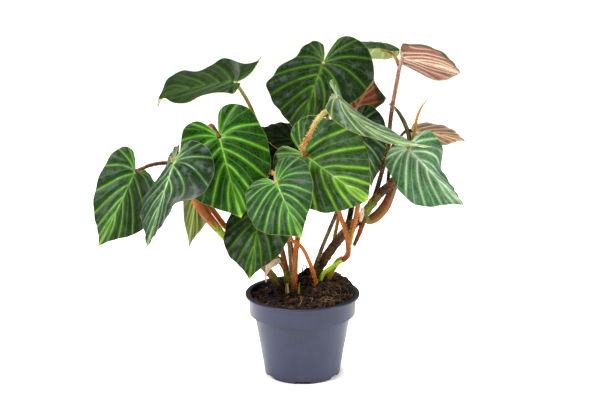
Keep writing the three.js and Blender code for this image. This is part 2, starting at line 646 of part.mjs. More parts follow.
// The pot: a thin moulded wall with a lip, a collar, a foot ring and a middle foot.
function potGeometry() {
  const p = POT;
  const outline = [
    [0, 0], [p.middleFoot, 0], [p.middleFoot + 1, p.recess], [p.recessRadius, p.recess],
    [p.recessRadius + 0.5, 0], [p.footRadius - p.footEdge, 0], [p.footRadius, p.footEdge],
    [p.bodyTopRadius, p.collarBottomZ], [p.collarBottomRadius, p.collarBottomZ],
    [p.collarTopRadius, p.height - p.rimHeight], [p.rimRadius - 0.3, p.height - p.rimHeight],
    [p.rimRadius, p.height - p.rimHeight / 2], [p.rimRadius - 0.4, p.height],
    [p.collarTopRadius - p.wall, p.height], ...innerWall(0), [0, p.recess + p.wall],
  ];
  const lathe = new THREE.LatheGeometry(outline.map(([r, z]) => new THREE.Vector2(r, z)), p.sides);
  lathe.rotateX(Math.PI / 2);
  const notch = new THREE.BoxGeometry(DRAIN.notchWidth, DRAIN.notchDepth, 2 * DRAIN.notchHeight);
  notch.translate(0, -p.footRadius, 0);
  const hole = new THREE.CylinderGeometry(DRAIN.holeRadius, DRAIN.holeRadius, 4 * p.recess, DRAIN.holeSides);
  hole.rotateX(Math.PI / 2).translate(0, -DRAIN.holeCircle, p.recess);
  const cutters = [...ringOf(notch, DRAIN.count), ...ringOf(hole, DRAIN.count, Math.PI / DRAIN.count)];
  return geometryOf(cut(solidOf(lathe), cutters));
}

// The pot's inner wall from its top to its floor, moved inwards by a clearance.
function innerWall(clearance) {
  const inside = POT.wall + clearance;
  const ledge = POT.collarBottomZ + inside;
  const floor = POT.recess + inside;
  const slope = (POT.bodyTopRadius - POT.footRadius) / POT.collarBottomZ;
  return [
    [POT.collarBottomRadius - inside, ledge],
    [POT.bodyTopRadius - inside, ledge],
    [POT.footRadius - inside + slope * floor, floor],
  ];
}

// How high the soil stands at a place.
function soilHeight(x, y) {
  const spread = x > SOIL.moundX ? SOIL.spreadRight : SOIL.spreadLeft;
  const away = ((x - SOIL.moundX) / spread) ** 2 + ((y - SOIL.moundY) / SOIL.spreadDepth) ** 2;
  return SOIL.level + SOIL.moundHeight * Math.exp(-away / 2);
}

function soilGeometry(stems) {
  const wall = innerWall(GAP).reverse();
  const rings = Array.from({ length: SOIL.rings + 1 }, (_, i) => (
    [(POT.collarBottomRadius - POT.wall - GAP) * (1 - i / SOIL.rings), SOIL.level]
  ));
  const outline = [[0, wall[0][1]], ...wall, ...rings];
  const lathe = new THREE.LatheGeometry(outline.map(([r, z]) => new THREE.Vector2(r, z)), POT.sides);
  lathe.rotateX(Math.PI / 2);
  const position = lathe.getAttribute('position');
  for (let i = 0; i < position.count; i += 1) {
    const [x, y, z] = [position.getX(i), position.getY(i), position.getZ(i)];
    if (z > SOIL.level - 1) position.setZ(i, soilHeight(x, y));
  }
  return geometryOf(cut(solidOf(lathe), stems));
}

const plant = new THREE.Group();
plant.name = 'potted_philodendron';

function addMesh(name, geometry, colour, roughness = 0.6) {
  const material = new THREE.MeshStandardMaterial({ color: colour, roughness, metalness: 0 });
  const mesh = new THREE.Mesh(geometry, material);
  mesh.name = name;
  plant.add(mesh);
}

// Each piece's shape grown by the clearance, as the solids that cut its neighbours. A blade's is its
// thicker shell nudged every way, because its margin has to grow too.
const grown = new Map();
const NUDGES = [
  [0, 0, 0], [GAP, 0, 0], [-GAP, 0, 0], [0, GAP, 0], [0, -GAP, 0], [0, 0, GAP], [0, 0, -GAP],
];

for (const [name, own] of Object.entries(LEAVES)) {
  const leaf = { ...LEAF_DEFAULTS, ...own };
  leaf.foldTip = own.foldTip ?? leaf.fold;
  addMesh(name, bladeGeometry(leaf), own.colour);
  grown.set(name, NUDGES.map((nudge) => solidOf(bladeGeometry(leaf, GAP).translate(...nudge))));
}

for (const [name, own] of Object.entries(STEMS)) {
  const stem = { ...own, route: own.leaf ? [...own.route, stemTop(own)] : own.route };
  const neighbours = [...(own.meets ?? []), ...(own.leaf ? [own.leaf] : [])];
  const solid = cut(solidOf(tubeGeometry(stem)), neighbours.flatMap((other) => grown.get(other)));
  addMesh(name, geometryOf(solid), own.colour);
  grown.set(name, [solidOf(tubeGeometry(stem, GAP))]);
}

for (const [name, husk] of Object.entries(HUSKS)) {
  addMesh(name, huskGeometry(husk), COLOUR.dry, 0.9);
}

const roots = Object.keys(STEMS).filter((name) => STEMS[name].rooted);
addMesh('soil', soilGeometry(roots.flatMap((name) => grown.get(name))), COLOUR.soil, 0.95);
addMesh('pot', potGeometry(), COLOUR.pot, 0.45);

export default plant;
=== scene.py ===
"""A potted philodendron verrucosum: its looks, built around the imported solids.

Lengths in the tables are millimetres in the part's own frame, and turn into metres in one place.
"""

import itertools
import math
import random

import bpy
import numpy as np
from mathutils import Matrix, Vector, noise


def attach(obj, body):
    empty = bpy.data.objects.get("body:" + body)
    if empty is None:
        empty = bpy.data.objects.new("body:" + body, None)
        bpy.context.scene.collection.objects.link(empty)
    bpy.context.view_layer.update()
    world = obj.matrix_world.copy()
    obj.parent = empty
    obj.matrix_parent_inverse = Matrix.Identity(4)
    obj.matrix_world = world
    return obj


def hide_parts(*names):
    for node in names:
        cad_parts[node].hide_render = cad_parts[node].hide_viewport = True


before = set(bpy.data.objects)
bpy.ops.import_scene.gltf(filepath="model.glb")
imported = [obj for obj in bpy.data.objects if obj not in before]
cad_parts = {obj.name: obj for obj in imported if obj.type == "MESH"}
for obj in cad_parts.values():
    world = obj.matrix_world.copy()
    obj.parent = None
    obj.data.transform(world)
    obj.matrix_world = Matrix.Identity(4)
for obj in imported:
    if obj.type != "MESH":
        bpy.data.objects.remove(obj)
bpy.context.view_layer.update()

MM = 0.001
random.seed(8208)

# The pot, a standard 12 cm nursery pot.
POT = {
    "height": 88, "rim_radius": 60, "rim_height": 2.6, "collar_top_radius": 56.2,
    "collar_bottom_radius": 55.5, "collar_bottom_z": 66.5, "body_top_radius": 50.5,
    "foot_radius": 39.5, "foot_edge": 1.2, "middle_foot": 14, "recess": 3.2, "recess_radius": 35,
    "wall": 1.5, "sides": 144,
}
DRAIN = {
    "count": 6, "hole_radius": 4, "hole_circle": 25, "notch_width": 15, "notch_depth": 12,
    "notch_height": 3,
}
SOIL = {
    "level": 80, "mound_height": 23, "mound_x": 20, "mound_y": 16,
    "spread_left": 28, "spread_right": 32, "spread_depth": 22, "clearance": 0.35,
}

# Colours by name, as sRGB.
COLOURS = {
    "lime": "9cc024", "green": "5f841a", "olive": "84721c", "dark_olive": "3c3414", "orange": "bc5a00",
    "rust": "8c3a04", "red": "942a02", "mauve": "66282a", "brown": "47270f", "dark": "22150f",
    "cream": "e2d2a0", "tan": "c9944a", "deep_green": "26341f", "pale_green": "a9bd6a", "amber": "c08424",
    "plum": "421816", "dusty": "8c5a4c", "blush": "c9988a", "straw": "c2b070", "coral": "a65014",
    "moss": "98902e",
}

# The vein grid of a blade. Veins start at the petiole up to this share of the margin, and then along
# the rib. They bow towards the tip, and less so beside the gap between the lobes. The right half's
# veins are shifted a little from the left's.
BASAL_SHARE = 0.4
VEIN_SHIFT = 0.018
FOOT_POWER = 1.2
VEIN_BOW = 0.14
BOW_SPREAD = 0.3
BOW_DELAY = 1.5
SHORT_LOBE = 0.25
PLAIN_HALF = 0.5
SINUS_BOW = 0.28

# Shares of the margin where a lobe and a flank end, and of the rib where a tip starts to hook.
LOBE_END = 0.34
FLANK_END = 0.68
HOOK_START = 0.7

# The mesh of a blade, and its thickness in the middle and at the margin.
LEAF_ROWS = 116
LEAF_COLUMNS = 30
LEAF_THICKNESS = 0.55
MARGIN_THICKNESS = 0.35

# The gap in millimetres between a petiole's end and the blade, how dense its bristles are, and the
# length of one step along a stem.
PETIOLE_GAP = 0.3
PETIOLE_BRISTLES = 2
STEM_STEP = 1.6

# Loose bits on the soil: crumbs all over, crumbs heaped between the stems, and fibres. Reach is how
# far from the middle they start, and a fibre ends at its limit.
CRUMBS = 900
CRUMB_REACH = 51
HEAP_CRUMBS = 160
HEAP = {"x": 6, "y": 17, "half_width": 9, "half_depth": 5, "height": 6}
FIBRES = 260
FIBRE_REACH = 49
FIBRE_LIMIT = 52
FIBRE_STEPS = 12

# The camera that fits the photograph, with its place in metres and its tilt in degrees. Soft lights
# with the place, diameter and power of each, all turned to one point. The floor's reach is in
# millimetres.
CAMERA = {
    "focal_length": 85, "sensor_width": 36, "near": 0.01, "place": (0.0037, -1.44, 0.561), "tilt": 14.7,
}
LIGHTS = {
    "left_softbox": ((-1.1, -0.8, 1.3), 0.4, 34),
    "right_softbox": ((1.3, -0.4, 0.9), 0.4, 18),
    "overhead_softbox": ((-0.2, 0.2, 1.6), 0.7, 26),
}
LIGHT_TARGET = (0, 0, 0.2)
SKY_STRENGTH = 0.24
FLOOR_REACH = 12000

# The shape that a blade has where its own entry says nothing else. Angles are in degrees, and half is
# the half width in blade lengths.
LEAF_DEFAULTS = dict(
    roll=0, lobe=0.38, gap=0.1, shoulder=1, belly=1, flank=0.5, blunt=0, half=0.52, fold=8, fold_from=0,
    fold_to=1, curl=-20, droop=20, hook=0, rise=0, wave=(0, 0, 0), lag=0.3, frill=0.025, greening=2,
    lean=0.12, veins=(0.05, 0.14, 0.235, 0.33, 0.43, 0.53, 0.63, 0.74, 0.86), top="dark", under="maroon",
    slot="leaf_dark")

# Each blade: where the petiole joins it, its tip, the turn of its upper face about the line between
# them, and its shape. A list of two is for the left and right halves of a hanging blade.
LEAVES = {
    "leaf_upper_left": dict(
        at=(-68, -5, 311), tip=(-150, 30, 278), roll=84, half=[0.4, 0.38], lobe=[0.38, 0.1], gap=[0.2, 0.1],
        shoulder=[0.72, 0.75], belly=[0.8, 1.15], flank=[1.1, 0.42], blunt=0.5, fold=[17, 0],
        rise=[140, -60], droop=4, hook=60, wave=(0.06, 2.5, 0.2), lag=0, top="plain", under="lime"),
    "leaf_far_left": dict(
        at=(-169, -20, 222), tip=(-207, -40, 148), roll=-12, half=[0.36, 0.58], shoulder=[1, 0.8],
        belly=1.05, lobe=[0.25, 0.1], gap=[0.25, 0.1], fold=[-20, -36], fold_tip=[-20, 0], rise=[0, -60],
        top="bright", slot="leaf_bright"),
    "leaf_left": dict(
        at=(-125, -65, 243), tip=(-152, -85, 160), roll=10, half=[0.48, 0.45], shoulder=[0.75, 1],
        belly=[0.8, 0.75], flank=[0.9, 0.5], lobe=[0.2, 0.3], fold=[-64, -5], fold_tip=[-52, -75],
        fold_from=0.05, fold_to=0.5, top="silver", under="olive", slot="leaf_silver"),
    "leaf_large_left": dict(
        at=(-82, -35, 260), tip=(-61, -50, 182), half=[0.49, 0.53], belly=[1.1, 1.05], flank=[0.78, 0.62],
        lobe=[0.28, 0.38], gap=[0.26, 0.1], blunt=0.5, top="vivid", slot="leaf_bright",
        veins=(0.06, 0.17, 0.28, 0.38, 0.49, 0.61, 0.74, 0.88)),
    "leaf_low_back": dict(
        at=(-108, 20, 206), tip=(-119, 10, 132), roll=180, half=[0.27, 0.18], under="olive",
        slot="leaf_under"),
    "leaf_bottom": dict(
        at=(-43, -15, 183), tip=(-54, -45, 114), half=[0.36, 0.47], belly=[1.2, 1], flank=[0.85, 0.5],
        fold=-8, wave=(0.03, 3, 0)),
    "leaf_front": dict(
        at=(-25, -68, 222), tip=(0, -103, 176), half=[0.54, 0.56], lobe=[0.2, 0.34], belly=[1, 0.95],
        flank=[0.78, 0.42], gap=[0.2, 0.14], blunt=0.4, top="fresh", slot="leaf_silver"),
    "leaf_large_centre": dict(
        at=(3, -45, 245), tip=(65, -60, 203), half=[0.48, 0.57], belly=[0.97, 1.1], flank=[0.8, 0.75],
        lobe=0.35, blunt=1, top="lush", slot="leaf_bright",
        veins=(0.06, 0.16, 0.265, 0.37, 0.48, 0.59, 0.7, 0.81, 0.91)),
    "leaf_upper_right": dict(
        at=(34, -60, 306), tip=(125, -75, 261), roll=-85, half=[0.3, 0.32], lobe=[0.06, 0.16],
        shoulder=[1, 0.8], flank=[0.35, 0.5], fold=[-4, 2], droop=-60, wave=(0.05, 2, 0.95), lag=0,
        top="frost", under="lime"),
    "leaf_top": dict(
        at=(21, 5, 329), tip=(-6, -10, 260), half=[0.53, 0.68], lobe=[0.25, 0.48], shoulder=[0.66, 1.04],
        belly=[1.3, 0.76], flank=[0.85, 0.32], blunt=0.6, frill=[0.07, 0.025]),
    "leaf_top_back": dict(
        at=(79, 33, 346), tip=(30, 55, 338), roll=78, half=[0.5, 0.36], fold=[-60, 6], lobe=0.45, rise=-60,
        top="plain", under="lime"),
    "leaf_top_right": dict(
        at=(102, 15, 332), tip=(159, 0, 319), roll=-130, half=[0.4, 0.45], shoulder=[1, 0.55],
        flank=[0.8, 1], blunt=1, lobe=0.05, veins=(0.1, 0.24, 0.38, 0.54, 0.76), lean=0.5,
        greening=[0.8, 2], under="pink", slot="leaf_under"),
    "leaf_back_centre": dict(
        at=(53, 32, 273), tip=(74, 37, 308), roll=180, half=[0.5, 0.6], shoulder=[1, 0.4], belly=[1, 0.1],
        flank=[0.4, 0.9], lobe=0.05, greening=[2, 0.6], slot="leaf_under"),
    "leaf_back_right": dict(
        at=(114, 15, 257), tip=(169, 10, 247), roll=-118, half=0.4, flank=0.7, fold=[8, -12], lobe=0.05,
        under="mauve", slot="leaf_under"),
    "leaf_right": dict(
        at=(106, -35, 249), tip=(162, -55, 195), half=[0.48, 0.46], lobe=[0.17, 0.06],
        shoulder=[0.78, 0.75], belly=[1.15, 0.8], flank=[0.6, 0.4], fold=[0, -10], fold_tip=[0, -75],
        fold_from=0.1, fold_to=0.5, top="pearl", under="olive", slot="leaf_silver"),
    "leaf_behind_right": dict(
        at=(57, 19, 258), tip=(72, 8, 199), half=[0.5, 0.46], top="silver"),
    "leaf_behind_left": dict(
        at=(-7, 25, 243), tip=(-48, 30, 255), roll=60, top="night"),
    "leaf_behind_centre": dict(
        at=(-20, 40, 246), tip=(-42, 34, 191), lobe=0.05, half=0.45, top="night"),
}

# Each stem and petiole, from its lower end up: its route, the radii and the colours spread evenly
# along it, and its slot. A petiole carries the leaf of the same name. Bristles are counted per
# millimetre, rings are shares of the length, and rough is the height of the bark.
STEM_DEFAULTS = dict(slot="petiole_red", rings=(), rough=0, stripes=False)
STEMS = {
    "vine_left": dict(
        route=[(-17, 4, 74), (-20, 5, 87), (-28, 4, 99), (-35, 3, 109), (-48, 1, 124), (-65, 0, 137),
               (-79, 1, 146), (-89, 2, 158)],
        radii=(4.4, 3.8), shades="dark dark_olive olive green lime lime", slot="stem_green",
        rings=(0.3, 0.62, 0.97)),
    "sheath_left": dict(
        route=[(-86, 2, 154), (-91, 2, 160), (-101, 2, 173), (-112, 2, 191), (-118, 3, 204)],
        radii=(4.2, 5.2, 5, 4), shades="lime coral rust coral brown", slot="petiole_pink", stripes=True),
    "vine_left_back": dict(
        route=[(-14, 15, 74), (-16, 13, 90), (-18, 11, 109), (-25, 11, 120), (-39, 12, 128), (-57, 13, 137),
               (-79, 13, 154), (-91, 13, 170), (-103, 12, 188)],
        radii=(3.4, 3, 2.8), shades="green lime green rust red orange red", stripes=True),
    "vine_right": dict(
        route=[(9, 13, 80), (13, 11, 98), (16, 10, 109), (23, 7, 122), (32, 5, 136), (43, 2, 151),
               (62, 0, 171), (69, 0, 180), (79, 0, 194), (89, -1, 203), (100, 2, 217), (109, 6, 239),
               (113, 7, 250)],
        shades="dark dark dark dark_olive dark brown dark brown dark brown brown green brown dark brown "
               "mauve brown dark mauve brown",
        radii=(5, 5, 4.8, 4.4, 3.2), slot="stem_dark", rings=(0.24, 0.43, 0.62, 0.8), rough=0.7,
        bristles=1.6),
    "vine_right_front": dict(
        route=[(16, 7, 84), (18, 4, 98), (22, -2, 109), (31, -8, 118), (39, -9, 124), (45, -9, 130),
               (49, -9, 140)],
        radii=(2.4, 2.3), shades="green lime lime lime orange", slot="stem_green", rings=(0.78,)),
    "vine_right_old": dict(
        route=[(22, 8, 84), (26, 8, 98), (30, 6, 108), (36, 1, 120), (41, -5, 126)],
        radii=(3.6, 3), shades="dark_olive olive olive", slot="petiole_olive", rough=0.3),
    "sheath_right": dict(
        route=[(63, 1, 169), (69, 3, 165), (77, 4, 169), (85, 5, 178), (91, 5, 191), (96, 5, 203)],
        radii=(3.4, 5.4, 5.4, 4.6, 3), shades="green rust red mauve brown", slot="petiole_pink",
        stripes=True),
    "petiole_upper_left": dict(
        route=[(-17, 10, 109), (-21, 10, 128), (-26, 14, 146), (-33, 20, 178), (-40, 17, 222),
               (-44, 6, 255), (-51, 0, 281), (-61, -3, 301)],
        radii=(3, 2.6, 2.1, 2, 1.8), shades="red rust olive olive moss moss", bristles=2.2),
    "petiole_far_left": dict(
        route=[(-116, 3, 202), (-123, 1, 216), (-136, -4, 227), (-154, -12, 227), (-161, -16, 225)],
        radii=(2.4, 1.8), shades="olive brown brown brown", slot="petiole_olive", bristles=2.2),
    "petiole_left": dict(
        route=[(-112, -1, 194), (-119, -8, 212), (-126, -28, 232), (-128, -50, 243)],
        radii=(2.4, 1.8), shades="olive brown rust olive", slot="petiole_olive", bristles=2.2),
    "petiole_large_left": dict(
        route=[(-102, 12, 186), (-100, 9, 223), (-97, -2, 257), (-92, -16, 269), (-88, -26, 268)],
        radii=(2.5, 2.2, 2), shades="rust rust mauve brown", bristles=2.2),
    "petiole_low_back": dict(
        route=[(-104, 11, 190), (-107, 13, 205), (-107, 17, 211)],
        radii=(1.8, 1.6), shades="olive rust", slot="petiole_olive"),
    "petiole_behind_left": dict(
        route=[(-9, -2, 76), (-9, -2, 90), (-8, -2, 109), (-7, -2, 130), (-5, -1, 146), (-4, 3, 160),
               (-2, 12, 190), (-1, 22, 219), (-4, 27, 237)],
        radii=(3.8, 3, 2.6, 2.4, 1.8), shades="brown orange orange olive olive rust", bristles=2.2),
    "petiole_bottom": dict(
        route=[(15, 2, 82), (14, -1, 98), (11, -6, 112), (7, -8, 124), (-1, -9, 140), (-13, -9, 149),
               (-22, -6, 165), (-33, -3, 182), (-40, -8, 186)],
        radii=(2.2, 1.9, 1.6), shades="rust orange orange orange rust"),
    "petiole_front": dict(
        route=[(-11, 7, 78), (-12, 7, 92), (-12, 6, 106), (-13, 6, 123), (-15, 7, 141), (-27, 5, 162),
               (-40, 8, 190), (-47, 1, 213), (-43, -28, 224), (-33, -40, 227), (-27, -51, 227)],
        radii=(1.9, 1.7), shades="dark_olive olive olive rust rust rust tan", slot="petiole_olive",
        bristles=2.4),
    "petiole_behind_centre": dict(
        route=[(-8, 17, 80), (-8, 17, 94), (-9, 17, 116), (-12, 17, 140), (-11, 18, 156), (-10, 24, 192),
               (-13, 38, 232), (-18, 43, 250)],
        radii=(1.8, 1.6), shades="brown rust orange rust"),
    "petiole_large_centre": dict(
        route=[(48, -9, 139), (50, -10, 151), (53, -11, 164), (56, -12, 180), (58, -13, 196),
               (57, -16, 228), (50, -24, 266), (38, -36, 286), (27, -48, 291), (16, -56, 285),
               (7, -58, 268), (0, -51, 253)],
        radii=(2.6, 2.4, 2.2, 2.1, 1.9),
        shades="lime orange orange orange rust rust tan moss straw coral coral", bristles=4.5),
    "petiole_top": dict(
        route=[(42, -10, 126), (47, -14, 132), (47, -16, 143), (44, -17, 160), (38, -17, 178),
               (35, -15, 196), (31, -6, 220), (27, 9, 260), (24, 18, 294), (23, 14, 318)],
        radii=(2.7, 2.2, 2, 1.8), shades="rust orange orange orange rust", bristles=2.2),
    "petiole_upper_right": dict(
        route=[(5, 4, 82), (8, 3, 97), (13, 1, 115), (20, -2, 136), (28, -3, 157), (35, -3, 175),
               (42, -6, 211), (44, -20, 245), (40, -38, 279), (36, -52, 298)],
        radii=(2.3, 2, 1.8), shades="dark dark_olive dark_olive olive", slot="petiole_olive"),
    "petiole_back_centre": dict(
        route=[(44, 2, 150), (50, 11, 171), (54, 19, 204), (55, 32, 244), (55, 34, 262)],
        radii=(3.2, 2.6, 1.8), shades="dark dark brown", slot="stem_dark", bristles=1.5),
    "petiole_behind_right": dict(
        route=[(32, 4, 137), (34, 6, 149), (37, 9, 164), (40, 14, 184), (44, 23, 215), (52, 27, 248)],
        radii=(2, 1.6), shades="olive orange olive olive", slot="petiole_olive"),
    "petiole_top_right": dict(
        route=[(68, 1, 177), (73, 4, 186), (81, 5, 213), (88, 4, 243), (89, 4, 262), (91, 5, 281),
               (95, 8, 304), (100, 13, 329)],
        radii=(2.6, 2.3, 1.9), shades="dark dark plum plum plum plum dusty dusty blush",
        slot="petiole_pink"),
    "petiole_top_back": dict(
        route=[(98, 12, 325), (94, 19, 333), (87, 26, 337), (81, 29, 339)],
        radii=(1.9, 1.5), shades="brown tan tan green", slot="stem_dark"),
    "petiole_right": dict(
        route=[(96, 4, 200), (99, -4, 225), (102, -14, 243), (106, -28, 252)],
        radii=(2.4, 1.8), shades="mauve rust olive"),
    "petiole_back_right": dict(
        route=[(88, 3, 205), (90, 12, 222), (93, 16, 240), (100, 18, 249), (107, 19, 256)],
        radii=(2, 1.4), shades="dark dark brown", slot="stem_dark", bristles=1.5),
    "new_shoot": dict(
        route=[(113, 6, 249), (114, -4, 262), (115, -9, 273), (119, -10, 285), (127, -11, 297)],
        radii=(1.7, 1.7, 1.3, 0.4), shades="brown olive amber tan cream", slot="petiole_olive",
        stripes=True),
    "rolled_leaf": dict(
        route=[(110, 9, 245), (108, 12, 257), (98, 12, 277), (89, 13, 286)],
        radii=(2.4, 2.2, 1.2), shades="dark deep_green deep_green deep_green", slot="leaf_dark",
        stripes=True),
    "shoot_left": dict(
        route=[(-127, -30, 231), (-126, -31, 242), (-123, -31, 253)],
        radii=(2.6, 2.4, 0.5), shades="brown brown mauve", slot="stem_dark", stripes=True),
    "aerial_root": dict(
        route=[(64, 0, 168), (61, -4, 160), (57, -7, 150), (53, -9, 141)],
        radii=(2.8, 2.6, 1.6), shades="brown rust brown", slot="stem_dark", rough=0.35),
    "bud": dict(
        route=[(-16, -4, 82), (-16, -4, 90), (-16, -5, 99)],
        radii=(1.6, 2.4, 0.8), shades="pale_green cream tan", slot="husk", stripes=True),
    "sprout": dict(
        route=[(-4, -7, 82), (-4, -7, 92), (-3, -7, 101)],
        radii=(1.2, 1, 0.4), shades="cream lime green", slot="stem_green"),
}

# Dry papery scales: the route that each lies along, and its widths spread evenly along that.
HUSKS = {
    "husk_left": ([(-23, 5, 121), (-29, 2, 119), (-35, -3, 116), (-38, -4, 108), (-38, -4, 100)],
                  (5, 8, 6, 2, 1)),
    "husk_right": ([(62, -6.5, 181), (61, -6.5, 173), (60, -6.5, 166)], (3, 5, 2)),
    "husk_arch": ([(28, -44, 286), (34, -38, 282), (40, -31, 276)], (3, 5, 3)),
}


def linear(code):
    """An sRGB hex colour as linear RGBA."""
    parts = [int(code[i:i + 2], 16) / 255 for i in (0, 2, 4)]
    return tuple(c / 12.92 if c <= 0.04045 else ((c + 0.055) / 1.055) ** 2.4 for c in parts) + (1.0,)


def smoothstep(low, high, x):
    t = np.clip((x - low) / (high - low), 0, 1)
    return t * t * (3 - 2 * t)


def along(values, share):
    """Rows of values spread evenly over 0 to 1, read at each share."""
    values = np.asarray(values, float)
    places = np.linspace(0, 1, len(values))
    if values.ndim == 1:
        return np.interp(share, places, values)
    return np.stack([np.interp(share, places, column) for column in values.T], axis=-1)


def lumps(points, size, seed=0.0, octaves=3):
    """Smooth noise from about -1 to 1 at each point, with features of about that size."""
    offset = Vector((seed, 2.7 * seed, -1.3 * seed))
    return np.array([noise.fractal(Vector(p / size) + offset, 0.8, 2.1, octaves) for p in points])


def unit(vectors):
    length = np.linalg.norm(vectors, axis=-1, keepdims=True)
    return vectors / np.maximum(length, 1e-9)


def add_object(name, data):
    made = bpy.data.objects.new(name, data)
    bpy.context.scene.collection.objects.link(made)
    return made


def new_mesh(name, points, faces):
    """A mesh from points in millimetres."""
    mesh = bpy.data.meshes.new(name)
    mesh.from_pydata((np.asarray(points) * MM).tolist(), [], faces)
    return mesh


def own_seed(name, limit):
    """A number below the limit that depends on the name."""
    return sum(map(ord, name)) % limit


def piece(name, points, faces, materials, nodes=(), looks=None, attributes=None, smooth=True):
    """Makes a mesh object with its materials, rides it on the root body, and hides the imported nodes that
    it stands for. looks is one material number per face, and attributes maps a name to numbers or colours
    per point."""
    mesh = new_mesh(name, points, faces)
    for material in materials:
        mesh.materials.append(material)
    if looks is not None:
        mesh.polygons.foreach_set("material_index", np.asarray(looks, np.int32))
    mesh.polygons.foreach_set("use_smooth", np.full(len(mesh.polygons), smooth))
    kinds = {1: ("FLOAT", "value"), 3: ("FLOAT_VECTOR", "vector"), 4: ("FLOAT_COLOR", "color")}
    for key, values in (attributes or {}).items():
        values = np.asarray(values, np.float32)
        kind, field = kinds[values.size // len(values)]
        mesh.attributes.new(key, kind, "POINT").data.foreach_set(field, values.ravel())
    mesh.validate()
    made = add_object(name, mesh)
    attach(made, "root")
    if nodes:
        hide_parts(*nodes)
    return made


# Materials.
class Tree:
    """A material's node tree, written from named parts. Its colour is set first and then tinted."""

    def __init__(self, name):
        self.material = bpy.data.materials.new(name)
        self.material.use_nodes = True
        self.tree = self.material.node_tree
        self.shader = self.tree.nodes["Principled BSDF"]
        self.colour = None

    def add(self, kind, inputs=None, **settings):
        made = self.tree.nodes.new(kind)
        for key, value in settings.items():
            setattr(made, key, value)
        for key, value in (inputs or {}).items():
            self.join(value, made.inputs[key])
        return made

    def join(self, value, socket):
        if isinstance(value, bpy.types.NodeSocket):
            self.tree.links.new(value, socket)
        else:
            socket.default_value = value

    def attribute(self, name, output="Fac"):
        return self.add("ShaderNodeAttribute", attribute_name=name).outputs[output]

    def math(self, operation, *values):
        return self.add("ShaderNodeMath", dict(enumerate(values)), operation=operation).outputs[0]

    def times(self, first, *others):
        for other in others:
            first = self.math("MULTIPLY", first, other)
        return first

    def span(self, value, low, high, to_low=0.0, to_high=1.0):
        """The value stretched from one range to another, smoothly and held at its ends."""
        inputs = {"Value": value, "From Min": low, "From Max": high, "To Min": to_low, "To Max": to_high}
        return self.add("ShaderNodeMapRange", inputs, interpolation_type="SMOOTHSTEP").outputs[0]

    def ramp(self, value, stops):
        made = self.add("ShaderNodeValToRGB", {"Fac": value})
        elements = made.color_ramp.elements
        while len(elements) < len(stops):
            elements.new(0.5)
        for element, (place, colour) in zip(elements, stops):
            element.position = place
            element.color = linear(colour)
        return made.outputs[0]

    def mix(self, share, first, second, blend="MIX"):
        made = self.add("ShaderNodeMix", data_type="RGBA", blend_type=blend)
        colours = [s for s in made.inputs if s.type == "RGBA"]
        self.join(share, made.inputs[0])
        self.join(first, colours[0])
        self.join(second, colours[1])
        return [s for s in made.outputs if s.type == "RGBA"][0]

    def tint(self, code, share):
        """Lays that share of another colour over the tree's own."""
        self.colour = self.mix(share, self.colour, linear(code))

    def noise(self, place, size, detail=3.0, rough=0.55):
        """Noise whose features are about that many millimetres; place is in millimetres."""
        inputs = {"Vector": place, "Scale": 1 / size, "Detail": detail, "Roughness": rough}
        return self.add("ShaderNodeTexNoise", inputs).outputs["Fac"]

    def object_place(self, stretch=(1, 1, 1)):
        """The point in the part's frame, in millimetres, stretched along each axis."""
        place = self.add("ShaderNodeTexCoord").outputs["Object"]
        scale = tuple(s / MM for s in stretch)
        return self.add("ShaderNodeMapping", {"Vector": place, "Scale": scale}).outputs[0]

    def bump(self, height, distance, strength=1.0, below=None):
        inputs = {"Height": height, "Distance": distance * MM, "Strength": strength}
        if below:
            inputs["Normal"] = below
        return self.add("ShaderNodeBump", inputs).outputs[0]

    def net(self, place, scale):
        """The distance to the edge of the nearest cell of a fine net."""
        inputs = {"Vector": place, "Scale": scale}
        return self.add("ShaderNodeTexVoronoi", inputs, feature="DISTANCE_TO_EDGE").outputs["Distance"]

    def finish(self, **sockets):
        names = {"specular": "Specular IOR Level", "sheen": "Sheen Weight",
                 "sheen_rough": "Sheen Roughness", "sheen_tint": "Sheen Tint"}
        self.join(self.colour, self.shader.inputs["Base Color"])
        for key, value in sockets.items():
            self.join(value, self.shader.inputs[names.get(key, key.capitalize())])
        return self.material


# The upper face's colours: its veins, the green beside them, the field between them and its darkest
# patches. Then how strong the painted grey sheen on the fields' crests is, which also sets the
# shader's sheen weight, how much the green far from the petiole glows, and the gloss.
TOP_LOOKS = {
    "vivid": ("a2cc66", "458a0e", "163806", "071602", 0.02, 0.2, 0.11),
    "bright": ("a0c480", "40761c", "162d0a", "081503", 0.2, 0.18, 0.11),
    "lush": ("b8d48c", "4f8418", "22400f", "102409", 0.3, 0.65, 0.11),
    "fresh": ("a2c87c", "3f7822", "193412", "0a1a07", 0.14, 0.2, 0.11),
    "silver": ("bcd6aa", "3f6a2a", "152816", "071209", 0.42, 0, 0.11),
    "pearl": ("f2f6ea", "86ab7a", "35602f", "1a3c1c", 0.4, 0, 0.11),
    "frost": ("eaeedc", "7d9a58", "3a5a26", "17320d", 0.8, 0, 0.11),
    "dark": ("6c9438", "32590c", "122406", "060e02", 0.22, 0, 0.11),
    "plain": ("446122", "2a4411", "192c09", "0e1905", 0.03, 0, 0.11),
    # Next, a near-black copy of the dark look for the leaves behind the others: painted shade, with its
    # gloss turned down.
    "night": ("1f3412", "0f1d08", "060e03", "020501", 0, 0, 0.02),
}
# The underside's veins, the colour beside them, the field between them and its darkest patches.
UNDER_LOOKS = {
    "pink": ("f3e6c6", "c79c82", "8c5044", "69362c"),
    "mauve": ("e2c98c", "a98a60", "73483f", "4f302a"),
    "maroon": ("d09c62", "b06e48", "8c4e3a", "65382a"),
    "olive": ("94a258", "667832", "4b5620", "463c20"),
    "lime": ("d8e2a8", "b6c87e", "9cb062", "80964a"),
}


